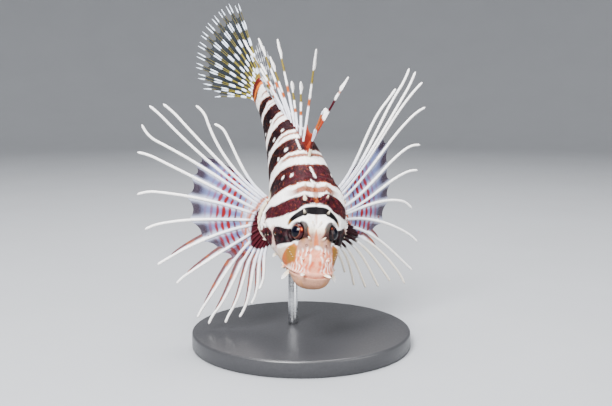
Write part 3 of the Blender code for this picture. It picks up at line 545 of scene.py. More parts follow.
def pectoral_rays(side):
    """The rays of one pectoral fin. side is -1 for the fish's right and 1 for its left."""
    shapes = RIGHT_RAYS if side < 0 else LEFT_RAYS
    webs = RIGHT_WEB if side < 0 else LEFT_WEB
    middle, out, up, normal = fan_axes(side)
    centre = middle + out * FAN_CENTRE_OUT
    rays = []
    for i, (angle, length, near_bow, far_bow, hook) in enumerate(shapes):
        share = i / (len(shapes) - 1)
        start = math.radians(LOBE_TOP_ANGLE + (LOBE_BOTTOM_ANGLE - LOBE_TOP_ANGLE) * share)
        root = middle + out * (math.cos(start) * LOBE_ROOT[0]) + up * (math.sin(start) * LOBE_ROOT[1])
        a = math.radians(angle)
        tip = centre + (out * math.cos(a) + up * math.sin(a)) * length
        chord = tip - root
        above = unit(np.cross(normal, chord))
        near = root + chord / 3 + above * near_bow
        far = root + chord * (2 / 3) + above * far_bow
        rays.append({
            "path": lambda t, c=(root, near, far, tip, above * hook): hooked(*c, t),
            "length": length,
            "web": webs[i],
            "normal": normal,
            "radius": pectoral_radius,
        })
    return rays


def tapered_ray(root, knee, tip, length, web, normal, radii):
    """A ray on a curve from root to tip that is pulled towards knee, with its radii at root and tip."""
    return {
        "path": lambda t: bezier(root, knee, tip, t),
        "length": length,
        "web": web,
        "normal": normal,
        "radius": lambda t: radii[0] + (radii[1] - radii[0]) * np.asarray(t),
    }


def dorsal_rays():
    """The spines of the front dorsal fin."""
    rays = []
    for s, lean, aside, length in DORSAL_SPINES:
        left, back, up = body_axes(s)
        root = at(s, 0.0, smooth_table(TRUNK_STATIONS, s)[0] - FIN_DEPTH)
        direction = unit(up * math.cos(math.radians(lean)) + back * math.sin(math.radians(lean)))
        direction = unit(direction + left * math.tan(math.radians(aside)))
        tip = root + direction * (length + FIN_DEPTH)
        knee = root + (tip - root) * 0.5 + up * (length * 0.03)
        rays.append(tapered_ray(root, knee, tip, length, 0.24, left, (0.8, 0.35)))
    return rays


def midline_rays(first, last, count, lean, length, aside, below):
    """Rays of a soft fin on the body's midline from distance first to last, above it or below it."""
    rays = []
    for i in range(count):
        share = i / (count - 1)
        s = first + (last - first) * share
        left, back, up = body_axes(s)
        top, bottom = smooth_table(TRUNK_STATIONS, s)[:2]
        away = -up if below else up
        angle = math.radians(lean[0] + (lean[1] - lean[0]) * share)
        reach = length[0] + (length[1] - length[0]) * math.sin(math.pi * min(share * 0.8 + 0.18, 1.0))
        root = at(s, 0.0, bottom + FIN_DEPTH if below else top - FIN_DEPTH)
        way = away * math.cos(angle) + back * math.sin(angle) + left * math.tan(math.radians(aside))
        tip = root + unit(way) * (reach + FIN_DEPTH)
        knee = root + (tip - root) * 0.5 + away * (reach * 0.04)
        rays.append(tapered_ray(root, knee, tip, reach, 0.95, left, (0.5, 0.3)))
    return rays


def caudal_rays():
    """The rays of the tail fin, fanned round the tail's end."""
    left, back, up = body_axes(LENGTH)
    turn, twist = math.radians(CAUDAL_TURN), math.radians(CAUDAL_TWIST)
    behind = back * math.cos(turn) - left * math.sin(turn)
    above = up * math.cos(twist) + left * math.sin(twist)
    above = unit(above - behind * (above @ behind))
    normal = np.cross(above, behind)
    rays = []
    for i, length in enumerate(CAUDAL_LENGTHS):
        share = i / (len(CAUDAL_LENGTHS) - 1)
        angle = math.radians(CAUDAL_TOP + (CAUDAL_BOTTOM - CAUDAL_TOP) * share)
        root = at(LENGTH - 2.6, 0.0, 6.6 - 13.2 * share)
        tip = at(LENGTH, 0.0, 0.0) + (behind * math.cos(angle) + above * math.sin(angle)) * length
        knee = root + back * (length * 0.3) + (above * math.sin(angle)) * (length * 0.22)
        rays.append(tapered_ray(root, knee, tip, length, TAIL_WEB, normal, (0.46, 0.34)))
    return rays


def pelvic_rays(side):
    """The rays of one pelvic fin, which trails back, out and down from the belly."""
    s, x, z = PELVIC_AT
    left, back, up = body_axes(s)
    out = left * side
    rays = []
    for i in range(PELVIC_COUNT):
        share = i / (PELVIC_COUNT - 1)
        root = at(s + 5.0 * share, side * (x - 1.5 * share), z + 0.5)
        angle = math.radians(62 - 34 * share)
        forward = back * math.cos(angle) - up * math.sin(angle)
        length = PELVIC_LENGTH * (0.78 + 0.22 * math.sin(math.pi * (0.25 + 0.6 * share)))
        tip = root + unit(forward + out * (0.55 - 0.2 * share)) * length
        knee = root + (tip - root) * 0.5 + out * 2.0
        rays.append(tapered_ray(root, knee, tip, length, 0.9, unit(out + up * 0.3), (0.6, 0.35)))
    return rays


# Sides and steps of a ray's tube, and how far webs bow out between the rays
RAY_SIDES, RAY_STEPS, WEB_SAG = 8, 70, 0.5
# The share of the UV map that a fin takes up each way, and the turn, a little over a full one, that fills it
MAP_SPAN, MAP_TURN = 0.9, 6.4


def path_frames(path, normal):
    """Side and upright directions along a path of points, with the upright kept near the normal given."""
    tangent = unit(np.gradient(path, axis=0))
    upright = unit(normal - tangent * (tangent @ normal)[:, None])
    return np.cross(upright, tangent), upright


def for_rings(values, sides):
    """One value for each ring as values for all points of capped rings."""
    return np.concatenate([np.repeat(values, sides, 0), values[:1], values[-1:]])


def add_tube(mesh, path, radii, colours, normal, places, sides=RAY_SIDES, flat=1.0):
    """Adds a closed tube with a radius, a colour and a place on the UV map for each point of its path."""
    side, upright = path_frames(path, normal)
    a = np.linspace(0, 2 * np.pi, sides, endpoint=False)
    around = side[:, None] * np.cos(a)[None, :, None] + upright[:, None] * (np.sin(a) * flat)[None, :, None]
    rings = path[:, None] + around * np.asarray(radii)[:, None, None]
    points = np.concatenate([rings.reshape(-1, 3), path[:1], path[-1:]])
    mesh.add(points, capped(len(path), sides), for_rings(colours, sides), for_rings(places, sides))


def column_width(rays):
    """The width on the UV map of one column, when each ray and each web has a column."""
    return MAP_SPAN / (len(rays) * 2)


def ray_places(i, column, t):
    """Places on the UV map along ray i."""
    return np.stack([np.full_like(t, (2 * i + 0.5) * column), t * MAP_SPAN], -1)


def fin_piece(name, rays, colour, node_name, across=8, step=0.5, scale=1.0, swell=0.0):
    """A fin: rays as tapered tubes, and between them thin webs.

    colour(i, t, across, reach, out) gives the colours: i is the ray before the point, t the share along the
    ray, across the share of the way to the next ray and 0 on a ray itself, reach the distance along the ray
    in millimetres, and out the share of the way to the web's edge. across and step of this function are the
    number of a web's quads from ray to ray and the distance between its rows. The rays' radii are multiplied
    by scale, to which swell is added at the tips.
    """
    mesh = Mesh()
    column = column_width(rays)
    t = np.linspace(0, 1, RAY_STEPS)
    for i, ray in enumerate(rays):
        tips = np.sqrt(np.clip((1 - t) * ray["length"] / 0.5, 0.0, 1.0))
        radii = ray["radius"](t) * (scale + swell * t) * np.maximum(tips, 0.3)
        shades = colour(i, t, np.zeros_like(t), t * ray["length"], np.minimum(t / ray["web"], 1.0))
        shades[:, 3] = 1.0
        add_tube(mesh, ray["path"](t), radii, shades, ray["normal"], ray_places(i, column, t))
    add_webs(mesh, rays, colour, across, step)
    mesh.build(name, fin_paint, "fin", node_name)


def add_webs(mesh, rays, colour, across, step=0.5, thick=0.14, scallop=0.25):
    """Adds thin webs between neighbouring rays, which sag a little and have scalloped edges."""
    column = column_width(rays)
    for i, (one, two) in enumerate(zip(rays, rays[1:])):
        reach = max(one["web"] * one["length"], two["web"] * two["length"])
        rows = int(reach / step) + 2
        v = np.linspace(0, 1, rows)[:, None]
        u = np.linspace(0, 1, across + 1)[None, :]
        dip = 1 - scallop * 4 * u * (1 - u) / np.maximum(reach / 12.0, 1.0)
        near = one["path"](v * one["web"] * dip)
        far = two["path"](v * two["web"] * dip)
        points = near * (1 - u[..., None]) + far * u[..., None]
        normal = unit((one["normal"] + two["normal"]) / 2)
        gap = np.linalg.norm(far - near, axis=-1)
        lengthwise = np.sin(np.pi * np.clip(v * 1.1, 0, 1) ** 0.8)
        bow = WEB_SAG * 4 * u * (1 - u) * np.minimum(gap / 6.0, 1.0) * lengthwise
        points = points + normal * (bow * (1 if i % 2 else -1))[..., None] * 0.6
        t = (v * one["web"] * (1 - u) + v * two["web"] * u) * dip
        ends = (one["web"] * one["length"], two["web"] * two["length"])
        along = (v * ends[0] * (1 - u) + v * ends[1] * u) * dip
        between_rays = np.broadcast_to(u, t.shape)
        out = np.broadcast_to(v, t.shape).ravel()
        shades = colour(i, t.ravel(), between_rays.ravel(), along.ravel(), out)
        places = np.stack([(2 * i + 1 + 0.8 * between_rays) * column, t * MAP_SPAN], -1).reshape(-1, 2)
        add_sheet(mesh, points, normal * thick / 2, shades, places)


def add_sheet(mesh, points, half, shades, places):
    """Adds a thin closed sheet through a grid of points, half as thick on each side."""
    both = np.concatenate([(points + half).reshape(-1, 3), (points - half).reshape(-1, 3)])
    mesh.add(both, sheet_faces(*points.shape[:2]), np.tile(shades, (2, 1)), np.tile(places, (2, 1)))


# Colours, as linear red, green and blue
BLACK_BROWN, DARK_BROWN = (0.003, 0.002, 0.003), (0.018, 0.005, 0.007)
RED_BROWN, MAROON = (0.080, 0.008, 0.007), (0.040, 0.004, 0.008)
ORANGE_BROWN, OCHRE, ORANGE = (0.36, 0.080, 0.016), (0.34, 0.15, 0.022), (0.54, 0.12, 0.012)
TRUNK_MAROON, LINE_BROWN = (0.030, 0.005, 0.008), (0.19, 0.042, 0.008)
WHITE, CREAM, LAVENDER = (0.93, 0.91, 0.89), (0.80, 0.68, 0.50), (0.31, 0.17, 0.135)
PINK, PEACH, STREAK_RED = (0.78, 0.38, 0.27), (0.40, 0.21, 0.14), (0.46, 0.065, 0.02)
FIN_BLUE, FIN_WHITE, FIN_RED = (0.055, 0.085, 0.27), (0.80, 0.82, 0.90), (0.17, 0.008, 0.010)
FIN_SMOKE, FIN_BLUE_WHITE = (0.13, 0.14, 0.20), (0.74, 0.82, 0.94)
OLIVE, OLIVE_BRIGHT, OLIVE_DARK = (0.16, 0.12, 0.025), (0.20, 0.16, 0.02), (0.07, 0.06, 0.025)
TAIL_SMOKE, FIN_RUST = (0.018, 0.022, 0.026), (0.26, 0.030, 0.010)
SNOUT_PINK, CHEEK_BROWN = (0.60, 0.24, 0.15), (0.20, 0.095, 0.016)
EYE_SPOT, PUPIL_RING, PUPIL_BLACK = (0.70, 0.10, 0.02), (0.16, 0.06, 0.03), (0.001, 0.001, 0.004)
SOFT_SMOKE, SOFT_SPOT = (0.07, 0.07, 0.08), (0.5, 0.52, 0.56)
ANAL_SMOKE, ANAL_SPOT = (0.10, 0.07, 0.06), (0.55, 0.5, 0.45)

# White bands across the trunk: middle at the crest, its shift back for each degree down the side, half width
# at the crest and low on the flank, then middle and half width of the brown line inside, and how many degrees
# from the crest that line ends
WHITE_BANDS = (
    (37.5, 0.02, 3.0, 3.2, 37.0, 1.4, 36.0),
    (55.0, 0.08, 4.4, 3.2, 56.5, 1.1, 60.0),
    (73.0, 0.06, 3.6, 2.0, 73.5, 0.9, 60.0),
    (92.5, -0.015, 4.6, 2.6, 93.5, 0.9, 60.0),
    (108.0, 0.0, 2.4, 1.6, 107.5, 0.3, 60.0),
    (119.5, 0.0, 5.0, 3.0, 118.5, 0.6, 60.0),
)
# White spots on each flank: distance, degrees from the crest, radius
FLANK_SPOTS = (
    (82.0, 36.0, 0.9),
    (82.5, 65.0, 0.9),
    (66.5, 40.0, 1.1),
    (66.0, 61.0, 0.9),
    (50.5, 50.0, 0.9),
    (48.0, 33.0, 0.9),
    (97.0, 60.0, 0.7),
    (66.0, 88.0, 0.8),
    (49.0, 92.0, 0.9),
    (82.0, 92.0, 0.8),
    (97.5, 100.0, 0.7),
    (66.0, 118.0, 0.8),
)

# Edges of the dark marks of the head, as pairs of degrees from the crest and distance from the snout
NAPE_FRONT = ((0.0, 31.0), (20.0, 30.0), (30.0, 29.0), (45.0, 29.5), (56.0, 30.5), (68.0, 33.0), (80.0, 36.5))
NAPE_END, NAPE_END_SHIFT = 73.5, 6.0
NAPE_REAR = ((0.0, 33.5), (14.0, 34.5), (42.0, 35.5), (56.0, 36.5), (67.0, 39.0), (80.0, 40.0))
OCCIPUT_MIDDLE = ((0.0, 28.0), (18.0, 27.5), (32.0, 27.0), (42.0, 26.5), (50.0, 25.5))
OCCIPUT_HALF = ((0.0, 1.8), (18.0, 1.6), (32.0, 1.2), (42.0, 0.8), (50.0, 0.3))
EYE_BAR_FRONT = ((20.0, 18.5), (50.0, 17.5), (90.0, 23.0))
EYE_BAR_REAR = ((20.0, 21.5), (35.0, 22.5), (50.0, 24.0), (70.0, 29.0), (90.0, 30.0))

# Corners of the dark blob behind the eye: distance and a third of the degrees from the crest
BLOB = (
    (28.0, 25.5), (26.5, 29.0), (25.5, 32.0), (28.0, 37.5),
    (31.0, 39.5), (35.0, 37.5), (36.5, 31.0), (33.0, 27.0),
)
# Corners of the dark skin between the eye and the snout, measured in the same way
EYE_CORNER = ((16.0, 10.0), (16.0, 3.5), (20.5, 3.0), (24.0, 8.0), (21.0, 15.0))

# Lines and corners of other marks: distance, and millimetres over the skin down from the crest. The dashes
# beside the crest and the pale nick on the snout are measured to the fish's left only
CREST_DASHES = (((69.0, -4.0), (61.5, -4.0)), ((48.5, -1.0), (43.5, 0.5)), ((41.5, -1.5), (39.5, 0.5)))
SNOUT_NICK = ((12.7, 0.3), (12.4, 1.3))
SNOUT_MIDLINE, FOREHEAD_MIDLINE = ((20.0, 0.0), (17.0, 0.0), (14.2, 0.0)), ((27.0, 0.0), (22.6, 0.0))
NAPE_MIDLINE = ((39.5, 0.0), (35.0, 0.0), (30.8, 0.0))
UNDER_EYE = ((16.4, 10.2), (18.2, 15.5), (20.6, 22.0), (25.5, 30.0))
CHEEK_PATCH = ((16.9, 12.2), (16.4, 25.0), (13.0, 23.5), (8.6, 10.4), (14.4, 9.4))
CHEEK_MIDDLE = ((16.3, 12.8), (15.8, 24.0), (13.0, 22.5), (9.4, 11.0), (14.2, 10.2))
CHEEK_STREAK = ((12.4, 22.0), (8.6, 17.0))
# Streaks along each side of the snout, in millimetres down from the crest
SNOUT_STREAKS = (1.4, 3.1, 5.2, 7.1, 8.6, 10.6, 12.4, 14.2)


def from_crest(angle):
    """Degrees from the crest of the back down either side, from angles round the body."""
    return np.abs((np.degrees(angle) - 90.0 + 180.0) % 360.0 - 180.0)


def down_side(s, phi):
    """Millimetres over the skin from the crest to phi degrees from it, at distances s."""
    top, bottom, half, widest = np.moveaxis(profile(s), -1, 0)
    upper = 0.79 * (half + top - widest)
    lower = 0.79 * (half + widest - bottom)
    return np.where(phi < 90, phi / 90 * upper, upper + (phi - 90) / 90 * lower)


def curve(x, pairs):
    """The values at x on a smooth curve through pairs of place and value."""
    return smooth_table(pairs, x)[..., 0]


def wobble(a, b, seed=0.0):
    """A smooth wavy value between about -1 and 1."""
    return (
        np.sin(a * 0.61 + seed) * np.cos(b * 0.47 - seed * 2)
        + 0.6 * np.sin(a * 1.37 - b * 0.9 + seed * 3)
        + 0.4 * np.cos(a * 2.1 + b * 1.7 + seed)
    ) / 1.7


def lay(base, colour, mask):
    """The base colours with one colour laid over them by a mask."""
    return base + (np.asarray(colour) - base) * np.clip(mask, 0, 1)[..., None]


def between(value, low, high, soft=0.25):
    """1 where a value lies between low and high, with soft edges."""
    return ramp(value - low, -soft, soft) * ramp(high - value, -soft, soft)


def stroke(s, w, points, half, soft=0.3):
    """The mask of a line through points of distance and way down the side, of one or several half widths."""
    best = np.full(s.shape, -1e9)
    points = np.array(points, float)
    halves = np.broadcast_to(np.asarray(half, float), (len(points),))
    for a, b, ha, hb in zip(points, points[1:], halves, halves[1:]):
        d = b - a
        t = np.clip(((s - a[0]) * d[0] + (w - a[1]) * d[1]) / (d @ d), 0, 1)
        away = np.hypot(s - a[0] - t * d[0], w - a[1] - t * d[1])
        best = np.maximum(best, ha + (hb - ha) * t - away)
    return ramp(best, -soft, soft)


def patch(s, w, corners, soft=0.4):
    """The mask of a patch with straight sides through corners of distance and way down the side."""
    points = np.array(corners, float)
    middle = points.mean(0)
    inside = np.full(s.shape, 1e9)
    for a, b in zip(points, np.roll(points, -1, 0)):
        side = unit(np.array([a[1] - b[1], b[0] - a[0]]))
        side = side * np.sign((middle - a) @ side)
        inside = np.minimum(inside, (s - a[0]) * side[0] + (w - a[1]) * side[1])
    return ramp(inside, -soft, soft)


def plain(s, colour):
    """One colour for every place."""
    return np.ones(s.shape + (3,)) * np.asarray(colour)


def with_alpha(colour, alpha=1.0):
    """The colours with their opacity as the fourth value."""
    return np.concatenate([colour, np.broadcast_to(alpha, colour.shape[:-1])[..., None]], -1)


def speckles(s, w):
    """The mask of the dark speckles of the nape bar."""
    return ramp(wobble(s * 2.0, w * 1.8, 4.0), -0.3, 0.5)


def trunk_colour(s, phi, w, side):
    """The colours of the trunk: dark bars with white bands between them, and white spots."""
    wave = s + 0.35 * wobble(s * 0.2, w * 0.7, 1.0) + 0.25 * wobble(w * 1.6, s * 0.3, 4.0 + side)
    colour = lay(plain(s, TRUNK_MAROON), DARK_BROWN, ramp(s, 46, 66))
    colour = lay(colour, BLACK_BROWN, 0.8 * ramp(phi, 20, 70))
    colour = lay(colour, RED_BROWN, 0.35 * ramp(wobble(s * 0.8, w * 0.8, 7.0), 0.1, 0.8) * ramp(s, 90, 60))
    for middle, slant, half, low_half, line, line_half, line_end in WHITE_BANDS:
        shift = slant * np.minimum(phi, 90.0)
        narrow = half + (low_half - half) * ramp(phi, 20, 85)
        away = np.abs(wave - middle - shift)
        band = ramp(narrow - away, -0.2, 0.3)
        rim = ramp(narrow + 0.5 - away, -0.3, 0.3) * (1 - band)
        colour = lay(colour, ORANGE_BROWN, 0.5 * rim)
        colour = lay(colour, WHITE, band)
        inner = ramp(line_half - np.abs(wave - line - shift), -0.3, 0.3)
        inner = inner * ramp(phi, line_end + 6, line_end - 16)
        tone = lay(plain(s, LINE_BROWN), RED_BROWN, 0.5 * ramp(wobble(w * 0.8, s, 2.0), 0.0, 0.8))
        colour = lay(colour, tone, 0.95 * inner)
    for distance, place, radius in FLANK_SPOTS:
        spot = down_side(np.array(distance), np.array(place + 3.0 + 3.0 * side))
        away = np.hypot(s - distance - 0.6 * side, (w - spot) * 0.85)
        colour = lay(colour, WHITE, ramp(radius - away, -0.25, 0.25))
    streaks = ramp(wobble(w * 1.5, s * 0.4, 9.0), 0.2, 0.8)
    colour = lay(colour, PINK, 0.6 * streaks * between(wave, 115.5, 124.0, 1.0))
    colour = lay(colour, ORANGE, between(wave, 124.2, 126.4, 0.5))
    colour = lay(colour, RED_BROWN, ramp(wave, 126.2, 127.4))
    spine_bases = ramp(1.5 - w, -0.4, 0.4) * between(s, 59.0, 99.0, 2.0)
    colour = lay(colour, RED_BROWN, 0.85 * spine_bases)
    colour = lay(colour, CREAM, 0.5 * ramp(phi, 122, 155))
    for line in CREST_DASHES:
        colour = lay(colour, WHITE, stroke(s, w * side, line, 0.45, 0.25))
    return colour


def snout_colour(colour, s, w, side):
    """Lays lavender, pink, tan smears, orange-red streaks and pale lines over the snout."""
    colour = lay(colour, LAVENDER, ramp(s, 21.0, 17.0) * ramp(w, 12.5, 9.0))
    colour = lay(colour, SNOUT_PINK, ramp(s, 12.8, 10.8) * ramp(w, 17.0, 13.0))
    tan = bump(w, 6.0, 1.3) * bump(s, 16.8, 2.6) + 0.8 * bump(w, 2.6, 0.9) * bump(s, 14.2, 1.8)
    colour = lay(colour, OCHRE, 0.6 * tan)
    flush = ramp(wobble(s * 1.3, w * 1.1, 5.0 + side), -0.1, 0.7) * ramp(s, 12.5, 9.5) * ramp(w, 17.0, 13.0)
    colour = lay(colour, STREAK_RED, 0.42 * flush)
    for k, place in enumerate(SNOUT_STREAKS):
        drift = place + 0.9 * wobble(s * 0.9 + k, side, place + side)
        length = ramp(wobble(s * 1.5, place, 3.0 * side + k), -0.35, 0.35)
        wide = 0.45 + 0.3 * wobble(s * 1.2, k * 2.0, side + k)
        line = ramp(wide - np.abs(w - drift), -0.45, 0.4) * length
        colour = lay(colour, STREAK_RED, 0.85 * line * ramp(s, 12.6, 10.4) * ramp(s, 0.8, 2.4))
        pale = ramp(0.3 - np.abs(w - drift - 1.0), -0.35, 0.35)
        pale = pale * ramp(wobble(s * 1.1, w * 0.2, k + side), -0.6, 0.2)
        colour = lay(colour, WHITE, 0.8 * pale * ramp(s, 13.4, 11.4) * ramp(s, 2.2, 4.0))
    colour = lay(colour, ORANGE_BROWN, 0.85 * stroke(s, w, SNOUT_MIDLINE, (0.35, 1.0, 1.25), 0.4))
    colour = lay(colour, ORANGE_BROWN, 0.55 * stroke(s, w, FOREHEAD_MIDLINE, (0.95, 0.4), 0.4))
    return lay(colour, WHITE, 0.7 * stroke(s, w * side, SNOUT_NICK, 0.7, 0.5))


def cheek_colour(colour, s, phi, w):
    """Lays lavender, a white line under the eye and the brown patch with its red streak over each cheek."""
    cheeks = between(phi, 62.0, 125.0, 8.0) * between(s, 9.0, 26.0, 2.0)
    colour = lay(colour, LAVENDER, 0.55 * cheeks)
    colour = lay(colour, WHITE, 0.9 * stroke(s, w, UNDER_EYE, 1.1))
    tone = lay(plain(s, CHEEK_BROWN), ORANGE_BROWN, ramp(w, 15.0, 21.0))
    tone = lay(tone, ORANGE_BROWN, 0.7 * (1 - patch(s, w, CHEEK_MIDDLE, 0.6)))
    colour = lay(colour, tone, patch(s, w, CHEEK_PATCH))
    return lay(colour, STREAK_RED, 0.7 * stroke(s, w, CHEEK_STREAK, (0.9, 0.4), 0.5))


def mouth_colour(colour, s, phi, w):
    """Lays a peach chin with ochre blotches, and a pink and a dark line along the mouth."""
    from_mouth = ring_height(s, phi) - mouth_height(s)
    gape = ramp(s, 14.8, 12.8)
    colour = lay(colour, PEACH, ramp(from_mouth, 0.1, -0.6) * gape)
    blotch = ramp(wobble(s * 1.1, w * 0.9, 8.0), 0.0, 0.7) * ramp(from_mouth, 0.0, -1.0) * gape
    colour = lay(colour, OCHRE, 0.35 * blotch)
    colour = lay(colour, PINK, 0.7 * bump(from_mouth, 1.0, 0.8) * gape)
    return lay(colour, RED_BROWN, 0.3 * bump(from_mouth, 0.0, 0.32) * gape)


def eye_marks(colour, s, phi, w, side):
    """Lays the dark bar through the eye, the dark corner before it and the blob behind it over the head."""
    dark = lay(plain(s, DARK_BROWN), BLACK_BROWN, ramp(wobble(s * 2, w * 2, 2.0), -0.4, 0.4))
    eye_bar = between(s, curve(phi, EYE_BAR_FRONT), curve(phi, EYE_BAR_REAR))
    eye_bar = eye_bar * ramp(phi, 28.0, 31.0) * ramp(71.0 + (28.7 - s) * 3.3 - phi, -1.0, 1.0)
    colour = lay(colour, ORANGE_BROWN, 0.6 * ramp(phi, 68, 72) * between(s, 22.0, 30.0) * ramp(phi, 98, 92))
    colour = lay(colour, dark, eye_bar)
    corner = patch(s, phi / 3, EYE_CORNER, 0.3)
    colour = lay(colour, dark, 0.95 * corner)
    colour = lay(colour, ORANGE, 0.6 * corner * between(phi, 8.0, 11.5, 1.0) * (0.6 - 0.4 * side))
    blob = patch(s, phi / 3, BLOB, 0.5)
    colour = lay(colour, MAROON, blob)
    return lay(colour, BLACK_BROWN, blob * ramp(wobble(s * 1.7, w * 1.5, 6.0), 0.0, 0.6))


def nape_bar(s, phi, side):
    """The mask of the dark bar across the nape, which ends higher on the fish's left."""
    end = NAPE_END - NAPE_END_SHIFT * side
    rear = curve(phi, NAPE_REAR) + (side > 0) * ramp(phi, 4.0, 14.0) * ramp(phi, 50.0, 30.0)
    return between(s, curve(phi, NAPE_FRONT), rear) * ramp(phi, end + 1.5, end - 1.5)


def head_colour(s, phi, w, side):
    """The colours of the head: white with dark bars over the nape, at the occiput and through the eye."""
    colour = lay(plain(s, CREAM), WHITE, ramp(s, 19, 23) * ramp(phi, 130, 90))
    colour = lay(colour, OCHRE, 0.22 * ramp(wobble(s, w, 3.0), 0.35, 0.9))
    colour = snout_colour(colour, s, w, side)
    colour = cheek_colour(colour, s, phi, w)
    colour = mouth_colour(colour, s, phi, w)
    colour = eye_marks(colour, s, phi, w, side)
    nape = nape_bar(s, phi, side)
    colour = lay(colour, MAROON, nape)
    colour = lay(colour, BLACK_BROWN, nape * (0.35 + 0.5 * ramp(phi, 45, 15)) * speckles(s, w))
    occiput = between(s - curve(phi, OCCIPUT_MIDDLE), -curve(phi, OCCIPUT_HALF), curve(phi, OCCIPUT_HALF))
    occiput = occiput * ramp(phi, 51.0, 48.0)
    colour = lay(colour, BLACK_BROWN, occiput)
    colour = lay(colour, OCHRE, 0.5 * occiput * ramp(phi, 40.0, 47.0))
    return lay(colour, CREAM, 0.9 * ramp(0.75 - np.hypot(s - 33.2, w * side + 5.5), -0.25, 0.25))


def ring_height(s, phi):
    """The height of the plain form at phi degrees from the crest."""
    return ring_point(s, np.radians(90.0 - phi))[1]


def lobe_colour(colour, points):
    """Lays a pale edge and a maroon bar over the fleshy roots of the pectoral fins."""
    for side in (-1, 1):
        middle, out, up, through = fan_axes(side)
        d = points - middle
        along, high, deep = d @ out, d @ up, d @ through
        round_it = np.hypot(along / LOBE_ROOT[0], high / LOBE_ROOT[1])
        near = ramp(np.abs(deep), 6.5, 4.0) * ramp(along, 0.5, 2.5) * ramp(round_it, 1.6, 1.3)
        colour = lay(colour, CREAM, 0.8 * near)
        colour = lay(colour, MAROON, near * between(round_it, 0.74, 1.12, 0.06))
    return colour


def skin_colour(s, angle, points):
    """The skin's colours at distances s and angles round the body, with 1 as the fourth value."""
    phi = from_crest(angle)
    w = down_side(s, phi)
    side = np.sign(np.cos(angle) + 1e-9)
    colour = lay(head_colour(s, phi, w, side), trunk_colour(s, phi, w, side), ramp(s, 34.8, 35.4))
    nape = nape_bar(s, phi, side) * ramp(s, 34.6, 35.2)
    colour = lay(colour, MAROON, nape)
    colour = lay(colour, BLACK_BROWN, 0.5 * nape * speckles(s, w))
    colour = lay(colour, LINE_BROWN, 0.75 * stroke(s, w, NAPE_MIDLINE, (0.5, 1.3, 0.7), 0.4))
    colour = lay(colour, WHITE, 0.9 * between(s, 36.5, 45.5, 0.6) * ramp(phi, 76, 88))
    colour = lay(colour, MAROON, between(s, 37.6, 40.4, 0.4) * ramp(phi, 92, 98) * ramp(phi, 132, 122))
    return with_alpha(lobe_colour(colour, points))


# Materials
def shader_of(name, roughness, coat=0.0, metallic=0.0, shine=0.5):
    """A new material with its Principled shader."""
    made = bpy.data.materials.new(name)
    made.use_nodes = True
    shader = made.node_tree.nodes["Principled BSDF"]
    shader.inputs["Roughness"].default_value = roughness
    shader.inputs["Coat Weight"].default_value = coat
    shader.inputs["Coat Roughness"].default_value = 0.12
    shader.inputs["Metallic"].default_value = metallic
    shader.inputs["Specular IOR Level"].default_value = shine
    return made, made.node_tree, shader


def node(tree, kind, **values):
    """A new shader node, with the inputs named set to values."""
    made = tree.nodes.new(kind)
    for key, value in values.items():
        if key in made.inputs:
            made.inputs[key].default_value = value
        else:
            setattr(made, key, value)
    return made


def place_node(tree):
    """Object coordinates."""
    return tree.nodes.new("ShaderNodeTexCoord").outputs["Object"]


def flat_colour(tree, colour):
    """One colour, as a node's output."""
    made = tree.nodes.new("ShaderNodeRGB")
    made.outputs[0].default_value = (*colour, 1.0)
    return made.outputs[0]


def spread(tree, value, start, end, low, high):
    """The values from start to end spread from low to high."""
    limits = {"From Min": start, "From Max": end, "To Min": low, "To Max": high}
    made = node(tree, "ShaderNodeMapRange", **limits)
    tree.links.new(value, made.inputs["Value"])
    return made.outputs["Result"]


def mottled(tree, colour, place, scale, low, high):
    """A colour made lighter and darker by noise, and the noise."""
    noise = node(tree, "ShaderNodeTexNoise", Scale=scale, Detail=4.0, Roughness=0.6)
    tree.links.new(place, noise.inputs["Vector"])
    mix = node(tree, "ShaderNodeVectorMath", operation="MULTIPLY")
    tree.links.new(colour, mix.inputs[0])
    tree.links.new(spread(tree, noise.outputs["Fac"], 0.3, 0.7, low, high), mix.inputs[1])
    return mix.outputs["Vector"], noise.outputs["Fac"]


def add_bump(tree, shader, height, strength, distance):
    """Bump from a height value."""
    made = node(tree, "ShaderNodeBump", Strength=strength, Distance=distance)
    tree.links.new(height, made.inputs["Height"])
    tree.links.new(made.outputs["Normal"], shader.inputs["Normal"])


def rough_from(tree, shader, value, low, high):
    """Roughness that varies with a value from 0 to 1."""
    tree.links.new(spread(tree, value, 0.25, 0.75, low, high), shader.inputs["Roughness"])


def painted(name, roughness, grain, low, high, bump_strength, coat=0.0, see_through=False, shine=0.08):
    """A material that takes its colour from the mesh's paint, with fine mottling and bump."""
    made, tree, shader = shader_of(name, roughness, coat, shine=shine)
    paint = node(tree, "ShaderNodeAttribute", attribute_name="paint")
    place = place_node(tree)
    colour, noise = mottled(tree, paint.outputs["Color"], place, grain, low, high)
    tree.links.new(colour, shader.inputs["Base Color"])
    rough_from(tree, shader, noise, roughness - 0.08, roughness + 0.1)
    fine = node(tree, "ShaderNodeTexVoronoi", Scale=grain * 2.2)
    tree.links.new(place, fine.inputs["Vector"])
    add_bump(tree, shader, fine.outputs["Distance"], bump_strength, 0.0002)
    if see_through:
        tree.links.new(paint.outputs["Alpha"], shader.inputs["Alpha"])
    return made


skin_paint = painted("skin_paint", 0.46, 700.0, 0.86, 1.08, 0.3)
scale_paint = painted("scale_paint", 0.45, 900.0, 0.9, 1.08, 0.15)
fin_paint = painted("fin_paint", 0.45, 500.0, 0.9, 1.05, 0.15, see_through=True)
eye_paint = painted("eye_paint", 0.14, 900.0, 0.85, 1.1, 0.0, 0.12, shine=0.12)


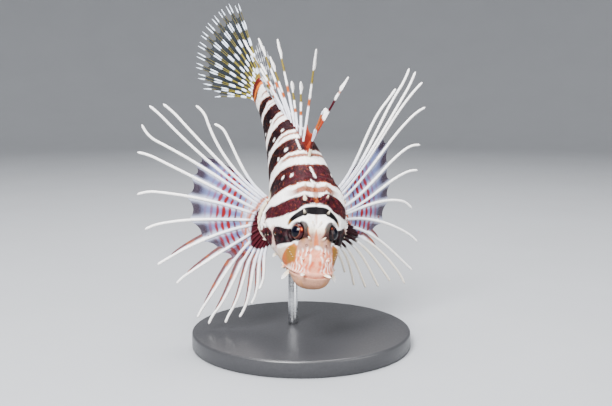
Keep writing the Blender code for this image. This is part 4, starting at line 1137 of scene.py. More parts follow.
# Skin
skin_points, skin_s, skin_angles = skin_grid()
plain_points = skin_points
skin_points = shape_sockets(raise_lobes(skin_points, grid_normals(skin_points)))
skin_normals = grid_normals(skin_points)
rows, columns = skin_s.shape
skin_shades = skin_colour(skin_s, skin_angles, skin_points)


def map_places(s, angle):
    """Places on the UV map of the skin at distances s and angles round the body."""
    return np.stack([angle / (2 * np.pi), s / LENGTH], -1) * 0.98 + 0.01


def build_skin():
    """The one skin of the head, jaw and body."""
    colours, places = skin_shades.reshape(-1, 4), map_places(skin_s, skin_angles).reshape(-1, 2)
    skin = Mesh()
    skin.add(
        np.concatenate([skin_points.reshape(-1, 3), [skin_points[0].mean(0), skin_points[-1].mean(0)]]),
        flipped(capped(rows, columns)),
        np.concatenate([colours, colours[:1], colours[-1:]]),
        np.concatenate([places, [[0.5, 0.005]], [[0.5, 0.995]]]),
    )
    skin.build("skin", skin_paint, "skin", "head", "lower_jaw", "torso", "tail_stem")


build_skin()

# Rows of the skin by distance, made to rise so that a place between two rows can be found
ROW_PLACES = np.maximum.accumulate(skin_s[:, 0]) + np.arange(rows) * 1e-6
CREST_COLUMN = columns // 4


def on_skin(s, angle, *grids):
    """The values of grids of the skin, between their points, at distances s and angles round the body."""
    row = np.clip(np.interp(s, ROW_PLACES, np.arange(rows)), 0, rows - 1.001)
    column = (np.asarray(angle) / (2 * np.pi) * columns) % columns
    r, c = row.astype(int), column.astype(int) % columns
    u, v = (column - np.floor(column))[..., None], (row - r)[..., None]
    after = (c + 1) % columns
    values = []
    for grid in grids:
        near = grid[r, c] * (1 - u) + grid[r, after] * u
        far = grid[r + 1, c] * (1 - u) + grid[r + 1, after] * u
        values.append(near * (1 - v) + far * v)
    return values


def step_over(grid, s, angle, ahead=0.0, turn=0.0):
    """The way over a grid of the skin from a step before each place to a step after it."""
    return on_skin(s + ahead, angle + turn, grid)[0] - on_skin(s - ahead, angle - turn, grid)[0]


def angles_down(s, widths, side):
    """The angles at which the skin is some millimetres down one side from the crest, at distance s."""
    row = int(round(np.interp(s, ROW_PLACES, np.arange(rows))))
    steps = np.arange(columns // 2 + 1)
    ring = skin_points[row, (CREST_COLUMN - side * steps) % columns]
    arcs = np.concatenate([[0.0], np.cumsum(np.linalg.norm(np.diff(ring, axis=0), axis=-1))])
    inside = widths < arcs[-1]
    turn = np.interp(widths[inside], arcs, steps) * 2 * np.pi / columns
    return (np.pi / 2 - side * turn) % (2 * np.pi)


# Scales: columns across and rows along one scale, the share of its width and its lift off the skin at each
# row, and its thickness
SCALE_ACROSS = np.array([-1.0, -0.42, 0.42, 1.0])
SCALE_ALONG = np.array([0.0, 0.55, 1.0])
SCALE_WIDTH = np.array([0.72, 1.0, 0.62])
SCALE_LIFT = np.array([-0.12, 0.05, 0.17])
SCALE_THICK = 0.07
# In distances between scales: half the width of one, its length, and how far before its root it starts
SCALE_HALF, SCALE_LENGTH, SCALE_START = 0.56, 1.45, 0.3
# How far its rear corners are cut back, and the share of that at each row; and how high its middle is arched
SCALE_ROUNDING, SCALE_ROUNDED, SCALE_CROWN = 0.24, np.array([0.0, 0.2, 1.0]), 0.05
# How light a dark scale is at each row, and the share and the strength of orange flecks among the dark scales
SCALE_TONES, FLECK_SHARE, FLECK_STRENGTH = np.array([0.9, 1.25, 0.62]), 0.12, 0.16
# From which to which distance scales are laid, how far apart rows are in distances between scales, how much
# single scales are shifted, and enough scales for half of the longest row
TRUNK_SCALES, HEAD_SCALES = (44.9, 127.6), (23.5, 43.0)
ROW_STEP, ROW_SHIFT, ROW_COUNT = 0.8, 0.12, 160
# How far scales stay from the middle of an eye, and how much the skin may be stretched under them
EYE_CLEARANCE, MOST_STRETCH = 6.6, 1.5
# Distance between scales in a row, by distance from the snout on the trunk; and where the rear pieces begin
TRUNK_PITCH = ((44.0, 1.02), (70.0, 0.98), (100.0, 0.85), (130.0, 0.7))
HEAD_PITCH, REAR_SCALES = 0.86, 76.0
# The turn to each side, in radians, over which the way across the skin is measured
SIDE_STEP = 0.02
# Where the scales of the head begin: degrees from the crest, and distance from the snout
SCALED_FROM = ((0.0, 40.0, 62.0, 120.0, 150.0), (30.5, 29.0, 23.5, 24.5, 36.0))


def scale_roots(first, last, pitch_at, wanted):
    """Distances, angles and pitches of staggered rows of scales from distance first to last, where wanted."""
    found = []
    s, k = first, 0
    while s < last:
        pitch = float(pitch_at(s))
        for side in (-1, 1):
            stagger = 0.5 if k % 2 else (0.0 if side > 0 else 1.0)
            widths = (np.arange(ROW_COUNT) + stagger) * pitch
            angles = angles_down(s, widths, side)
            found.append(np.stack([np.full(len(angles), s), angles, np.full(len(angles), pitch)], -1))
        s += pitch * ROW_STEP
        k += 1
    roots = np.concatenate(found)
    roots[:, 0] += (random.random(len(roots)) - 0.5) * ROW_SHIFT
    return roots[wanted(roots[:, 0], roots[:, 1])]


def clear_of_features(s, angle):
    """True where the skin is smooth enough for scales: off the eyes and away from steep folds."""
    (point,) = on_skin(s, angle, skin_points)
    clear = np.ones(s.shape, bool)
    for side in (-1, 1):
        clear &= np.linalg.norm(point - eye_place(side)[0], axis=-1) > EYE_CLEARANCE
    for step in ({"ahead": 0.5}, {"turn": SIDE_STEP}):
        shaped = np.linalg.norm(step_over(skin_points, s, angle, **step), axis=-1)
        flat = np.linalg.norm(step_over(plain_points, s, angle, **step), axis=-1)
        clear &= shaped / (flat + 1e-6) < MOST_STRETCH
    return clear


def on_head(s, angle):
    """True where the head carries scales: the nape, the cheeks and the gill covers."""
    return (s > np.interp(from_crest(angle), *SCALED_FROM)) & clear_of_features(s, angle)


def scale_shades(s, angle, middle_s, middle_angle, points):
    """Colours of scales: mostly one colour to a scale, varied more among the dark ones."""
    count = len(middle_s)
    own = skin_colour(s, angle, points)
    (centre,) = on_skin(middle_s, middle_angle, skin_points)
    shared = skin_colour(middle_s, middle_angle, centre)[:, None, None]
    colour = own * 0.35 + shared * 0.65
    light = colour[..., :3].mean(-1, keepdims=True)
    dark = np.clip(1 - light / 0.22, 0, 1)
    draw = random.random((count, 1, 1, 1))
    tones = SCALE_TONES[None, :, None, None]
    factor = (0.4 + 1.1 * draw) * tones * dark + (0.93 + 0.1 * draw) * (1 - dark)
    colour[..., :3] = np.clip(colour[..., :3] * factor, 0, 0.95)
    flecks = (random.random((count, 1, 1)) < FLECK_SHARE) * dark[..., 0] * FLECK_STRENGTH
    colour[..., :3] = lay(colour[..., :3], ORANGE_BROWN, flecks)
    return colour


def build_scales(name, roots):
    """One piece of many thin overlapping scales, each a closed vane sunk in the skin at its front."""
    s, angle, pitch = roots.T
    point, normal = on_skin(s, angle, skin_points, skin_normals)
    normal = unit(normal)
    back = step_over(skin_points, s, angle, ahead=0.4)
    back = unit(back - normal * (back * normal).sum(-1, keepdims=True))
    across = np.cross(normal, back)
    beside = step_over(skin_points, s, angle, turn=SIDE_STEP)
    width = np.linalg.norm(beside, axis=-1) / (2 * SIDE_STEP)
    turn_sign = np.sign((beside * across).sum(-1))
    u = SCALE_ACROSS[None, None, :] * SCALE_WIDTH[None, :, None] * (SCALE_HALF * pitch)[:, None, None]
    round_end = SCALE_ROUNDING * SCALE_ACROSS[None, None, :] ** 2 * SCALE_ROUNDED[None, :, None]
    along = SCALE_ALONG[None, :, None] * SCALE_LENGTH - SCALE_START - round_end * SCALE_LENGTH
    v = along * pitch[:, None, None]
    tilt = 0.85 + 0.3 * random.random((len(s), 1, 1))
    crown = SCALE_CROWN * (1 - SCALE_ACROSS[None, None, :] ** 2)
    lift = SCALE_LIFT[None, :, None] * tilt * pitch[:, None, None] + crown
    base = point[:, None, None, :]
    top = (
        base
        + across[:, None, None, :] * u[..., None]
        + back[:, None, None, :] * v[..., None]
        + normal[:, None, None, :] * lift[..., None]
    )
    under = top - normal[:, None, None, :] * SCALE_THICK
    vertex_s = s[:, None, None] + v + 0 * u
    vertex_angle = angle[:, None, None] + (turn_sign / width)[:, None, None] * u + 0 * v
    shades = scale_shades(vertex_s, vertex_angle, s + 0.4 * pitch, angle, top)
    patch_u = np.broadcast_to(SCALE_ACROSS[None, None, :] * 0.0015, vertex_s.shape)
    patch_v = np.broadcast_to(SCALE_ALONG[None, :, None] * 0.003 - 0.0015, vertex_s.shape)
    places = map_places(s, angle)[:, None, None, :] + np.stack([patch_u, patch_v], -1)
    one = np.concatenate(flipped(sheet_faces(len(SCALE_ALONG), len(SCALE_ACROSS))))
    first_points = np.arange(len(s)) * 2 * len(SCALE_ALONG) * len(SCALE_ACROSS)
    faces = (one[None] + first_points[:, None, None]).reshape(-1, 4)
    both = np.concatenate([top.reshape(len(s), -1, 3), under.reshape(len(s), -1, 3)], 1)
    shades = np.tile(shades.reshape(len(s), -1, 4), (1, 2, 1))
    places = np.tile(places.reshape(len(s), -1, 2), (1, 2, 1))
    mesh = Mesh()
    mesh.add(both, [faces], shades.reshape(-1, 4), places)
    mesh.build(name, scale_paint, "skin")


trunk_roots = scale_roots(*TRUNK_SCALES, lambda s: curve(np.array(s), TRUNK_PITCH), clear_of_features)
head_roots = scale_roots(*HEAD_SCALES, lambda s: HEAD_PITCH, on_head)
on_left = np.cos(trunk_roots[:, 1]) > 0
forward = trunk_roots[:, 0] < REAR_SCALES
build_scales("scales_head", head_roots)
build_scales("scales_front_left", trunk_roots[on_left & forward])
build_scales("scales_front_right", trunk_roots[~on_left & forward])
build_scales("scales_rear_left", trunk_roots[on_left & ~forward])
build_scales("scales_rear_right", trunk_roots[~on_left & ~forward])


# Spines, flaps and nostrils of the head
def head_side(s, z):
    """The head's half width at distance s and height z, without its relief."""
    top, bottom, half, widest = smooth_table(HEAD_STATIONS, s)
    reach = top - widest if z > widest else widest - bottom
    share = min(abs(z - widest) / reach, 0.999)
    return half * (1 - share**ROUNDNESS) ** (1 / ROUNDNESS)


def skin_near(point):
    """The row and column of the skin's point nearest to a point."""
    return np.unravel_index(np.argmin(((skin_points - point) ** 2).sum(-1)), skin_s.shape)


def head_place(s, z, side):
    """The row and column of the skin's point at distance s and height z on one side of the head."""
    return skin_near(at(s, side * head_side(s, z), z))


# Points along a spine of the head, and sides of its tube
SPIKE_STEPS, SPIKE_SIDES = 9, 9


def add_spike(mesh, s, z, side, direction, length, radius):
    """A bony spine that rises from the skin, broad at its root and sharp at its tip."""
    place = head_place(s, z, side)
    point, normal = skin_points[place], skin_normals[place]
    way = mirrored(direction, side)
    t = np.linspace(0, 1, SPIKE_STEPS)
    lean = unit(way + normal * 0.4)
    path = bezier(point - normal * radius * 0.9, point + lean * length * 0.55, point + way * length, t)
    radii = radius * (1 - t) ** 0.8 * (1.0 + 0.5 * (1 - t) ** 4) + 0.05
    pale = 0.2 if z < 1.0 and s > 30.0 else (0.35 if radius < 0.5 else 1.0)
    colour = with_alpha(lay(plain(t, skin_shades[place][:3]), CREAM, pale * ramp(t, 0.2, 0.9)))
    across = np.array([0.0, 1.0, 0.2]) if abs(way[1]) < 0.8 else np.array([0.0, 0.0, 1.0])
    places = map_places(skin_s[place], skin_angles[place]) + np.stack([t * 0, t * 0.003], -1)
    add_tube(mesh, path, radii, colour, across, places, sides=SPIKE_SIDES)


# Small spines: their direction (out, back, up) and radius, and their rows along the ridges of each side of
# the head, with first and last distance and height, count and length
SMALL_SPIKE_WAY, SMALL_SPIKE_RADIUS = (0.75, 0.55, 0.35), 0.32
SPINE_ROWS = (
    ((11.0, 2.6), (15.0, 3.0), 4, 0.9),
    ((25.0, 1.2), (36.0, 0.2), 6, 1.2),
    ((30.0, -5.0), (33.6, -10.5), 4, 1.1),
    ((17.5, 13.6), (24.0, 15.6), 4, 0.9),
)


def build_head_spines():
    """The bony spines of both sides of the head, large and small."""
    mesh = Mesh()
    for side in (-1, 1):
        for s, z, direction, length, radius in HEAD_SPIKES:
            add_spike(mesh, s, z, side, direction, length, radius)
        for (s0, z0), (s1, z1), count, length in SPINE_ROWS:
            for share in np.linspace(0, 1, count):
                s, z = s0 + (s1 - s0) * share, z0 + (z1 - z0) * share
                grown = length * (0.75 + 0.5 * random.random())
                add_spike(mesh, s, z, side, SMALL_SPIKE_WAY, grown, SMALL_SPIKE_RADIUS)
    mesh.build("head_spines", skin_paint, "skin")


# How far each flap of the head curls from its root to its tip, in degrees, and half the width of its leaf
FLAP_CURLS = (20.0, 30.0, 200.0, 50.0)
FLAP_HALVES = (0.6, 0.9, 1.3, 0.8)
# Points along and across a flap
FLAP_STEPS, FLAP_ACROSS = 26, 7


def add_flap(mesh, side, spec, curl, half):
    """A leaf-shaped flap of skin with a fringed edge, which hangs and curls from the jaw or cheek."""
    s, z, direction, length = spec
    place = head_place(s, z, side)
    way = mirrored(direction, side)
    turn_axis = unit(np.cross(way, np.array([0.0, 0.3, -1.0])))
    t = np.linspace(0, 1, FLAP_STEPS)
    angle = math.radians(curl) / (FLAP_STEPS - 1)
    path, heading = [skin_points[place] - way * 0.7], way
    for _ in range(FLAP_STEPS - 1):
        heading = heading * math.cos(angle) + np.cross(turn_axis, heading) * math.sin(angle)
        path.append(path[-1] + heading * (length * 1.35 + 0.7) / (FLAP_STEPS - 1))
    path = np.array(path)
    tangent = unit(np.gradient(path, axis=0))
    across = unit(np.cross(tangent, np.cross(turn_axis, tangent)))
    leaf = 0.35 + 0.65 * np.sin(np.pi * np.clip(t * 0.95 + 0.03, 0, 1)) ** 0.8
    width = half * leaf * np.minimum((1 - t) * 5 + 0.1, 1.0)
    fringe = 1 + 0.22 * np.cos(t * 42.0)
    u = np.linspace(-1, 1, FLAP_ACROSS)
    points = path[:, None] + across[:, None] * (width * fringe)[:, None, None] * u[None, :, None]
    facing = np.cross(tangent, across)
    points = points + facing[:, None] * (0.18 * (u * u)[None, :, None])
    edge = np.tile(np.abs(u), FLAP_STEPS)
    along = np.repeat(t, FLAP_ACROSS)
    colour = lay(plain(edge, CREAM), WHITE, ramp(along, 0.3, 0.8))
    colour = lay(colour, ORANGE_BROWN, 0.35 * ramp(0.3 - edge, -0.2, 0.1) * ramp(along, 0.5, 0.1))
    places = map_places(skin_s[place], skin_angles[place]) + np.stack([edge * 0.0015, along * 0.003], -1)
    thickness = facing[:, None] * (0.16 * (1.15 - t))[:, None, None]
    add_sheet(mesh, points, thickness, with_alpha(colour), places)


def build_head_flaps():
    """The flaps of skin of both sides of the head."""
    mesh = Mesh()
    for side in (-1, 1):
        for spec, curl, half in zip(HEAD_FLAPS, FLAP_CURLS, FLAP_HALVES):
            add_flap(mesh, side, spec, curl, half)
    mesh.build("head_flaps", skin_paint, "skin")


def add_ring(mesh, centre, axis, profile_points, colours, sides=24):
    """A closed turned form round an axis, from pairs of radius and height."""
    across = unit(np.cross(axis, [0.3, 0.2, 1.0]))
    upward = np.cross(axis, across)
    a = np.linspace(0, 2 * np.pi, sides, endpoint=False)
    circle = across * np.cos(a)[:, None] + upward * np.sin(a)[:, None]
    radius, height = np.array(profile_points, float).T
    points = centre + radius[:, None, None] * circle + height[:, None, None] * axis
    ends = centre + height[[0, -1], None] * axis
    shades = for_rings(with_alpha(np.array(colours, float)), sides)
    mesh.add(np.concatenate([points.reshape(-1, 3), ends]), capped(len(radius), sides), shades)


# The outline of a nostril's rim, from its foot over its edge down into the opening: radius and height
NOSTRIL_RIM = (
    (0.6, -0.5), (0.85, -0.15), (0.72, 0.25), (0.55, 0.42),
    (0.42, 0.3), (0.36, -0.05), (0.12, -0.1),
)


def build_nostrils():
    """Two short tubes on each side of the snout, whose openings are painted dark brown to black as painted
    shade.
    """
    mesh = Mesh()
    for side in (-1, 1):
        for s, x, z in NOSTRILS:
            place = skin_near(at(s, side * x, z))
            pale = skin_shades[place][:3]
            # The inner wall and floor of each shallow opening are painted dark: painted shade that stands in
            # for a deep hole.
            colours = (pale, pale, pale, pale, DARK_BROWN, BLACK_BROWN, BLACK_BROWN)
            add_ring(mesh, skin_points[place], skin_normals[place], NOSTRIL_RIM, colours)
    mesh.build("nostrils", skin_paint, "skin")


build_head_spines()
build_head_flaps()
build_nostrils()


# Eyes
# Edges of the pupil, its ring and the iris, in degrees from the eye's axis
PUPIL, PUPIL_EDGE, IRIS_EDGE = 36.0, 39.5, 62.0
# For each side: the colour of the iris, and the turn round the eye and the strength of its orange spot
IRIS = {-1: (0.026, 0.004, 0.006), 1: (0.008, 0.005, 0.006)}
EYE_SPOT_AT, EYE_SPOT_SHARE = {-1: 2.0, 1: 1.5}, {-1: 0.9, 1: 0.12}
# Sides and rings of an eyeball, and how far its front bulges
EYE_SIDES, EYE_RINGS, EYE_BULGE = 96, 72, 0.25


def build_eye(side, word):
    """One eyeball: a black pupil in a brown ring, and a dark iris with an orange spot and a darker edge."""
    centre, axis = eye_place(side)
    across = unit(np.cross(axis, [0.0, 0.0, 1.0]))
    upward = np.cross(across, axis)
    polar = np.linspace(0.02, np.pi, EYE_RINGS)[:, None]
    round_it = np.linspace(0, 2 * np.pi, EYE_SIDES, endpoint=False)[None, :]
    bulge = EYE_RADIUS + EYE_BULGE * bump(np.degrees(polar), 0.0, 30.0)
    flat = across * np.cos(round_it)[..., None] + upward * np.sin(round_it)[..., None]
    points = centre + bulge[..., None] * (axis * np.cos(polar)[..., None] + flat * np.sin(polar)[..., None])
    degrees = np.broadcast_to(np.degrees(polar), points.shape[:2])
    rounds = np.broadcast_to(round_it, points.shape[:2])
    spokes = 0.5 + 0.5 * np.sin(rounds * 30 + 1.5 * wobble(degrees * 0.2, rounds * 3))
    glow = 0.3 * spokes * ramp(degrees, 56, 42) * (0.55 - 0.45 * side)
    colour = lay(plain(degrees, IRIS[side]), RED_BROWN, glow)
    colour = lay(colour, BLACK_BROWN, 0.85 * ramp(degrees, IRIS_EDGE - 10, IRIS_EDGE))
    turn = np.abs(np.angle(np.exp(1j * (rounds - EYE_SPOT_AT[side]))))
    spot = bump(degrees, 50.0, 4.5) * bump(turn, 0.0, 0.16) * EYE_SPOT_SHARE[side]
    colour = lay(colour, EYE_SPOT, 1.5 * spot)
    colour = lay(colour, PUPIL_RING, (0.4 - 0.25 * side) * between(degrees, PUPIL, PUPIL_EDGE, 0.8))
    colour = lay(colour, PUPIL_BLACK, ramp(PUPIL - degrees, -0.8, 0.8))
    colour = lay(colour, ORANGE_BROWN, (0.35 - 0.25 * side) * between(degrees, 84.0, 90.0, 1.5))
    shades = with_alpha(colour)
    ends = [centre + axis * (EYE_RADIUS + EYE_BULGE), centre - axis * EYE_RADIUS]
    places = np.stack([rounds / MAP_TURN, degrees / 181], -1).reshape(-1, 2)
    mesh = Mesh()
    mesh.add(
        np.concatenate([points.reshape(-1, 3), ends]),
        capped(EYE_RINGS, EYE_SIDES),
        np.concatenate([shades.reshape(-1, 4), shades[0, :1], shades[-1, :1]]),
        np.concatenate([places, [[0.5, 0.001], [0.5, 0.999]]]),
    )
    mesh.build("eye_ball_" + word, eye_paint, "eye", "eye_" + word)


for side, word in SIDES:
    build_eye(side, word)


# Fins
# Rows of marks across a pectoral fin: how far along the rays the first is, the distance between rows, and how
# much farther out they are on the fish's left
ROW_START, ROW_SPACING, LEFT_SHIFT = 4.4, 3.15, 2.4
# How strong each row is, its half width in millimetres and its colour, from the root out
ROW_STRENGTHS = (0.0, 0.8, 0.9, 0.95, 1.0, 1.0, 0.95, 0.6, 0.3)
ROW_HALVES = (0.5, 0.35, 0.45, 0.6, 0.95, 1.05, 1.0, 0.8, 0.6)
ROW_COLOURS = (ORANGE_BROWN,) * 3 + (RED_BROWN,) + (FIN_RED,) * 5
# The rows and rays from which on the marks are spots between the rays
SPOT_ROW, SPOT_RAY = 4, 4
# By the number of the ray: how far the dark root of a pectoral fin reaches, and where the orange row crosses
FIN_ROOT = (
    (0.0, 0.8), (4.0, 2.0), (5.0, 3.2), (7.0, 4.4), (8.0, 5.4),
    (9.0, 7.2), (10.0, 9.2), (11.0, 10.5), (15.0, 7.0),
)
LEFT_FIN_ROOT = (
    (0.0, 0.8), (6.0, 2.5), (7.5, 4.5), (8.5, 8.0),
    (9.5, 16.0), (11.0, 19.0), (12.5, 16.0), (15.0, 10.0),
)
ORANGE_ROW = (
    (0.0, 3.5), (4.5, 4.0), (6.0, 5.8), (7.0, 6.8),
    (8.0, 8.2), (9.0, 10.4), (10.0, 15.5), (15.0, 17.0),
)


def pectoral_colour(side):
    """A colouring for one pectoral fin: rows of dark red spots on pale blue webs, and a maroon root."""
    root_tone, root_reach = (MAROON, FIN_ROOT) if side < 0 else (DARK_BROWN, LEFT_FIN_ROOT)

    def colour(i, t, across, reach, out):
        edge = np.minimum(across, 1 - across)
        on_ray = ramp(edge, 0.1, 0.04)
        near = reach - LEFT_SHIFT * (side > 0)
        shade = lay(plain(t, FIN_BLUE), FIN_WHITE, 0.08 + 0.42 * ramp(edge, 0.4, 0.1))
        shade = lay(shade, FIN_WHITE, 0.6 * ramp(near, 12.0, 6.0))
        shade = lay(shade, FIN_SMOKE, 0.5 * ramp(out, 0.62, 0.98) * ramp(edge, 0.05, 0.3))
        wave = near + 0.3 * wobble(across * 5 + i, near * 0.2, i) + 0.3 * np.cos(i * 2.3)
        stretch = 1 + 0.08 * ramp(i + across, 4.5, 3.0)
        for k, (strength, half, tone) in enumerate(zip(ROW_STRENGTHS, ROW_HALVES, ROW_COLOURS)):
            off = np.abs(wave - (ROW_START + ROW_SPACING * k) * stretch)
            wide = half * (0.85 + 0.15 * np.sin(i * 1.7 + k * 2.1))
            if k >= SPOT_ROW and i >= SPOT_RAY:
                spots = ramp(edge, 0.04, 0.14)
                wide = wide * (1 - 0.75 * (1 - 2 * edge) ** 2)
            else:
                spots = 0.6 + 0.4 * ramp(edge, 0.03, 0.1)
            mark = ramp(wide - off, -0.3, 0.25) * spots
            shade = lay(shade, tone, strength * mark * ramp(out, 1.02, 0.9))
        place = i + across
        orange = ramp(0.75 - np.abs(near - curve(place, ORANGE_ROW)), -0.25, 0.25)
        shade = lay(shade, ORANGE_BROWN, 0.9 * orange)
        low_webs = ramp(place, 8.6, 9.4) * ramp(across, 0.1, 0.4) * ramp(near, 13.0, 17.0)
        shade = lay(shade, RED_BROWN, 0.7 * low_webs)
        dusky = ramp(out, 0.8, 0.93) * ramp(edge, 0.1, 0.28)
        shade = lay(shade, DARK_BROWN, 0.9 * dusky * ramp(place, 10.0, 8.0))
        shade = lay(shade, FIN_WHITE, 0.85 * on_ray * ramp(near, 5.0, 8.0))
        shade = lay(shade, root_tone, ramp(near - curve(place, root_reach), 0.5, -0.5))
        shade = lay(shade, WHITE, ramp(t, 0.3, 0.5) * on_ray)
        shade = lay(shade, CREAM, 0.6 * on_ray * ramp(t, 0.3, 0.5) * ramp(place, 8.5, 10.5) * (side > 0))
        return with_alpha(shade, 0.98 - 0.22 * ramp(out, 0.6, 1.0) * ramp(edge, 0.0, 0.2))

    return colour


def banded(t, stops, soft=0.012):
    """Colours along t: each of the stops is a start and the colour from there on."""
    colour = plain(t, stops[0][1])
    for start, tone in stops[1:]:
        colour = lay(colour, tone, ramp(t, start - soft, start + soft))
    return colour


# The dorsal spines with a look of their own, and how far the flaps of all but the front one twist, in degrees
FRONT_SPINE, TALL_SPINE, LEAF_TWIST = 2, 3, 50.0
# The colours of the dorsal spines from root to tip
SPINE_STOPS = ((0.0, FIN_WHITE), (0.40, ORANGE_BROWN), (0.48, WHITE), (0.63, OLIVE), (0.78, WHITE))
SHORT_SPINE_STOPS = ((0.0, CREAM), (0.35, RED_BROWN), (0.62, FIN_BLUE_WHITE))
SECOND_SPINE_STOPS = ((0.0, FIN_RUST), (0.5, ORANGE_BROWN), (0.93, FIN_BLUE_WHITE))
FRONT_STOPS = (
    (0.0, FIN_RUST), (0.42, WHITE), (0.535, MAROON),
    (0.69, WHITE), (0.78, ORANGE_BROWN), (0.81, WHITE),
)
# The flaps along the spines: share of the spine, and width behind and in front of the shaft
SPINE_FLAP = (
    (0.0, 1.4, 0.0), (0.3, 0.7, 0.0), (0.6, 0.35, 0.0), (0.78, 0.5, 0.2),
    (0.88, 1.4, 1.1), (0.95, 1.1, 0.8), (1.0, 0.1, 0.05),
)
SECOND_FLAP = ((0.0, 1.6, 0.5), (0.6, 1.4, 0.4), (0.92, 0.8, 0.2), (1.0, 0.1, 0.0))
SHORT_FLAP = ((0.0, 0.8, 0.0), (0.5, 0.5, 0.0), (0.74, 1.8, 0.7), (0.88, 1.6, 0.7), (1.0, 0.2, 0.1))
TALL_FLAP = (
    (0.0, 3.6, 0.0), (0.2, 1.9, 0.0), (0.38, 0.35, 0.0), (0.7, 0.3, 0.1),
    (0.86, 1.25, 0.9), (0.94, 0.85, 0.6), (1.0, 0.1, 0.05),
)
FRONT_FLAP = (
    (0.0, 1.4, 0.3), (0.25, 2.4, 0.8), (0.40, 2.6, 0.8), (0.43, 3.8, 1.2), (0.50, 4.2, 1.0),
    (0.525, 3.6, 0.8), (0.545, 0.25, 0.0), (0.68, 0.3, 0.0), (0.72, 1.4, 0.4), (0.76, 1.2, 0.4),
    (0.795, 0.2, 0.1), (0.84, 1.6, 0.9), (0.91, 1.3, 0.8), (1.0, 0.1, 0.05),
)


def dorsal_look(i):
    """The colour stops and the flap widths of dorsal spine i."""
    if i == FRONT_SPINE:
        return FRONT_STOPS, FRONT_FLAP
    if i == TALL_SPINE:
        return SPINE_STOPS, TALL_FLAP
    if i == FRONT_SPINE - 1:
        return SECOND_SPINE_STOPS, SECOND_FLAP
    if i < FRONT_SPINE:
        return SHORT_SPINE_STOPS, SHORT_FLAP
    return SPINE_STOPS, SPINE_FLAP


def dorsal_colour(i, t, across, reach, out):
    """The colours of the dorsal spines and of the low webs between them."""
    colour = banded(t, dorsal_look(i)[0])
    web = ramp(np.minimum(across, 1 - across), 0.06, 0.16)
    return with_alpha(lay(colour, RED_BROWN, 0.85 * web * ramp(out, 1.05, 0.7)))


def ray_point(ray, share):
    """The point at one share of a ray's length."""
    return ray["path"](np.array([share]))[0]


def beside(rays, i):
    """The rays before and after ray i, or the ray itself at an end of the fin."""
    return rays[max(i - 1, 0)], rays[min(i + 1, len(rays) - 1)]


# Points across a strip of skin, and its thickness
STRIP_ACROSS, STRIP_THICK = 9, 0.18


def add_strip(mesh, ray, toward, t, rear, front, ripple, shade, place, twist=0.0):
    """A strip of skin along a ray, with widths behind and in front of it at each t, rippled and twisted.

    Its rear side is the one that lies in the direction toward. shade(along, across) gives the colours, place
    the start and the width of its column on the UV map, and twist is in degrees.
    """
    path = ray["path"](t)
    side, upright = path_frames(path, ray["normal"])
    side = side * np.where(side @ toward < 0, -1.0, 1.0)[:, None]
    lean = np.radians(twist) * ramp(t, 0.0, 0.45)[:, None]
    side, upright = side * np.cos(lean) + upright * np.sin(lean), upright * np.cos(lean) - side * np.sin(lean)
    u = np.linspace(0, 1, STRIP_ACROSS)
    offset = -front[:, None] * (1 - u) + (rear[:, None] + ray["radius"](t)[:, None]) * u
    wave = ripple * np.sin(t * ray["length"] * 0.9)[:, None] * u[None] ** 2
    points = path[:, None] + side[:, None] * offset[..., None] + upright[:, None] * wave[..., None]
    along, across = np.repeat(t, STRIP_ACROSS), np.tile(u, len(t))
    places = np.stack([place[0] + place[1] * across, along * MAP_SPAN], -1)
    add_sheet(mesh, points, upright[:, None] * STRIP_THICK / 2, shade(along, across), places)


def add_banner(mesh, i, ray, toward, column):
    """The flap of skin that runs up a dorsal spine, in front of and behind its shaft."""
    stops, widths = dorsal_look(i)
    t = np.linspace(0.02, 1.0, 90)
    rear, front = np.moveaxis(smooth_table(widths, t), -1, 0)
    twist = 0.0 if i == FRONT_SPINE else LEAF_TWIST

    def shade(along, across):
        hem = 0.25 * ramp(across, 0.85, 1.0) * (i != FRONT_SPINE)
        return with_alpha(lay(banded(along, stops), ORANGE_BROWN, hem), 0.97)

    add_strip(mesh, ray, toward, t, rear, front, 0.16, shade, ((2 * i + 1) * column, 0.8 * column), twist)


# For each side: the first ray without an edging, and the share of a ray at which the edgings end; and the
# first ray that has one, and the last that has a wide one
EDGINGS = {-1: (16, 0.86), 1: (11, 0.5)}
EDGING_FIRST, EDGING_WIDE_LAST = 8, 11


def build_edgings(name, rays, last, end):
    """The narrow brown strips along the upper sides of a pectoral fin's lower rays."""
    mesh = Mesh()
    for i in range(EDGING_FIRST, last):
        ray, above = rays[i], rays[i - 1]
        toward = ray_point(above, 0.4) - ray_point(ray, 0.4)
        first = ray["web"] * 0.85
        t = np.linspace(first, end, 60)
        share = (t - first) / (end - first)
        widest = 2.8 if i <= EDGING_WIDE_LAST else 1.8
        rear = widest * np.sqrt(1 - share) * np.minimum(share * 6 + 0.3, 1.0) + 0.05

        def shade(along, across):
            colour = lay(plain(along, FIN_WHITE), RED_BROWN, 0.95 * ramp(across, 0.3, 0.6))
            colour = lay(colour, ORANGE_BROWN, 0.5 * ramp(wobble(along * 40, across * 3, i), 0.0, 0.7))
            return with_alpha(colour, 0.95)

        add_strip(mesh, ray, toward, t, rear, np.zeros_like(t), 0.12, shade, (i * 0.06, 0.05))
    mesh.build(name, fin_paint, "fin")


def build_banners(rays):
    """The flaps of all dorsal spines as one piece."""
    mesh = Mesh()
    for i, ray in enumerate(rays):
        before, after = beside(rays, i)
        toward = ray_point(after, 0.3) - ray_point(before, 0.3)
        add_banner(mesh, i, ray, toward, MAP_SPAN / (len(rays) * 2 + 1))
    mesh.build("fin_dorsal_flaps", fin_paint, "fin")


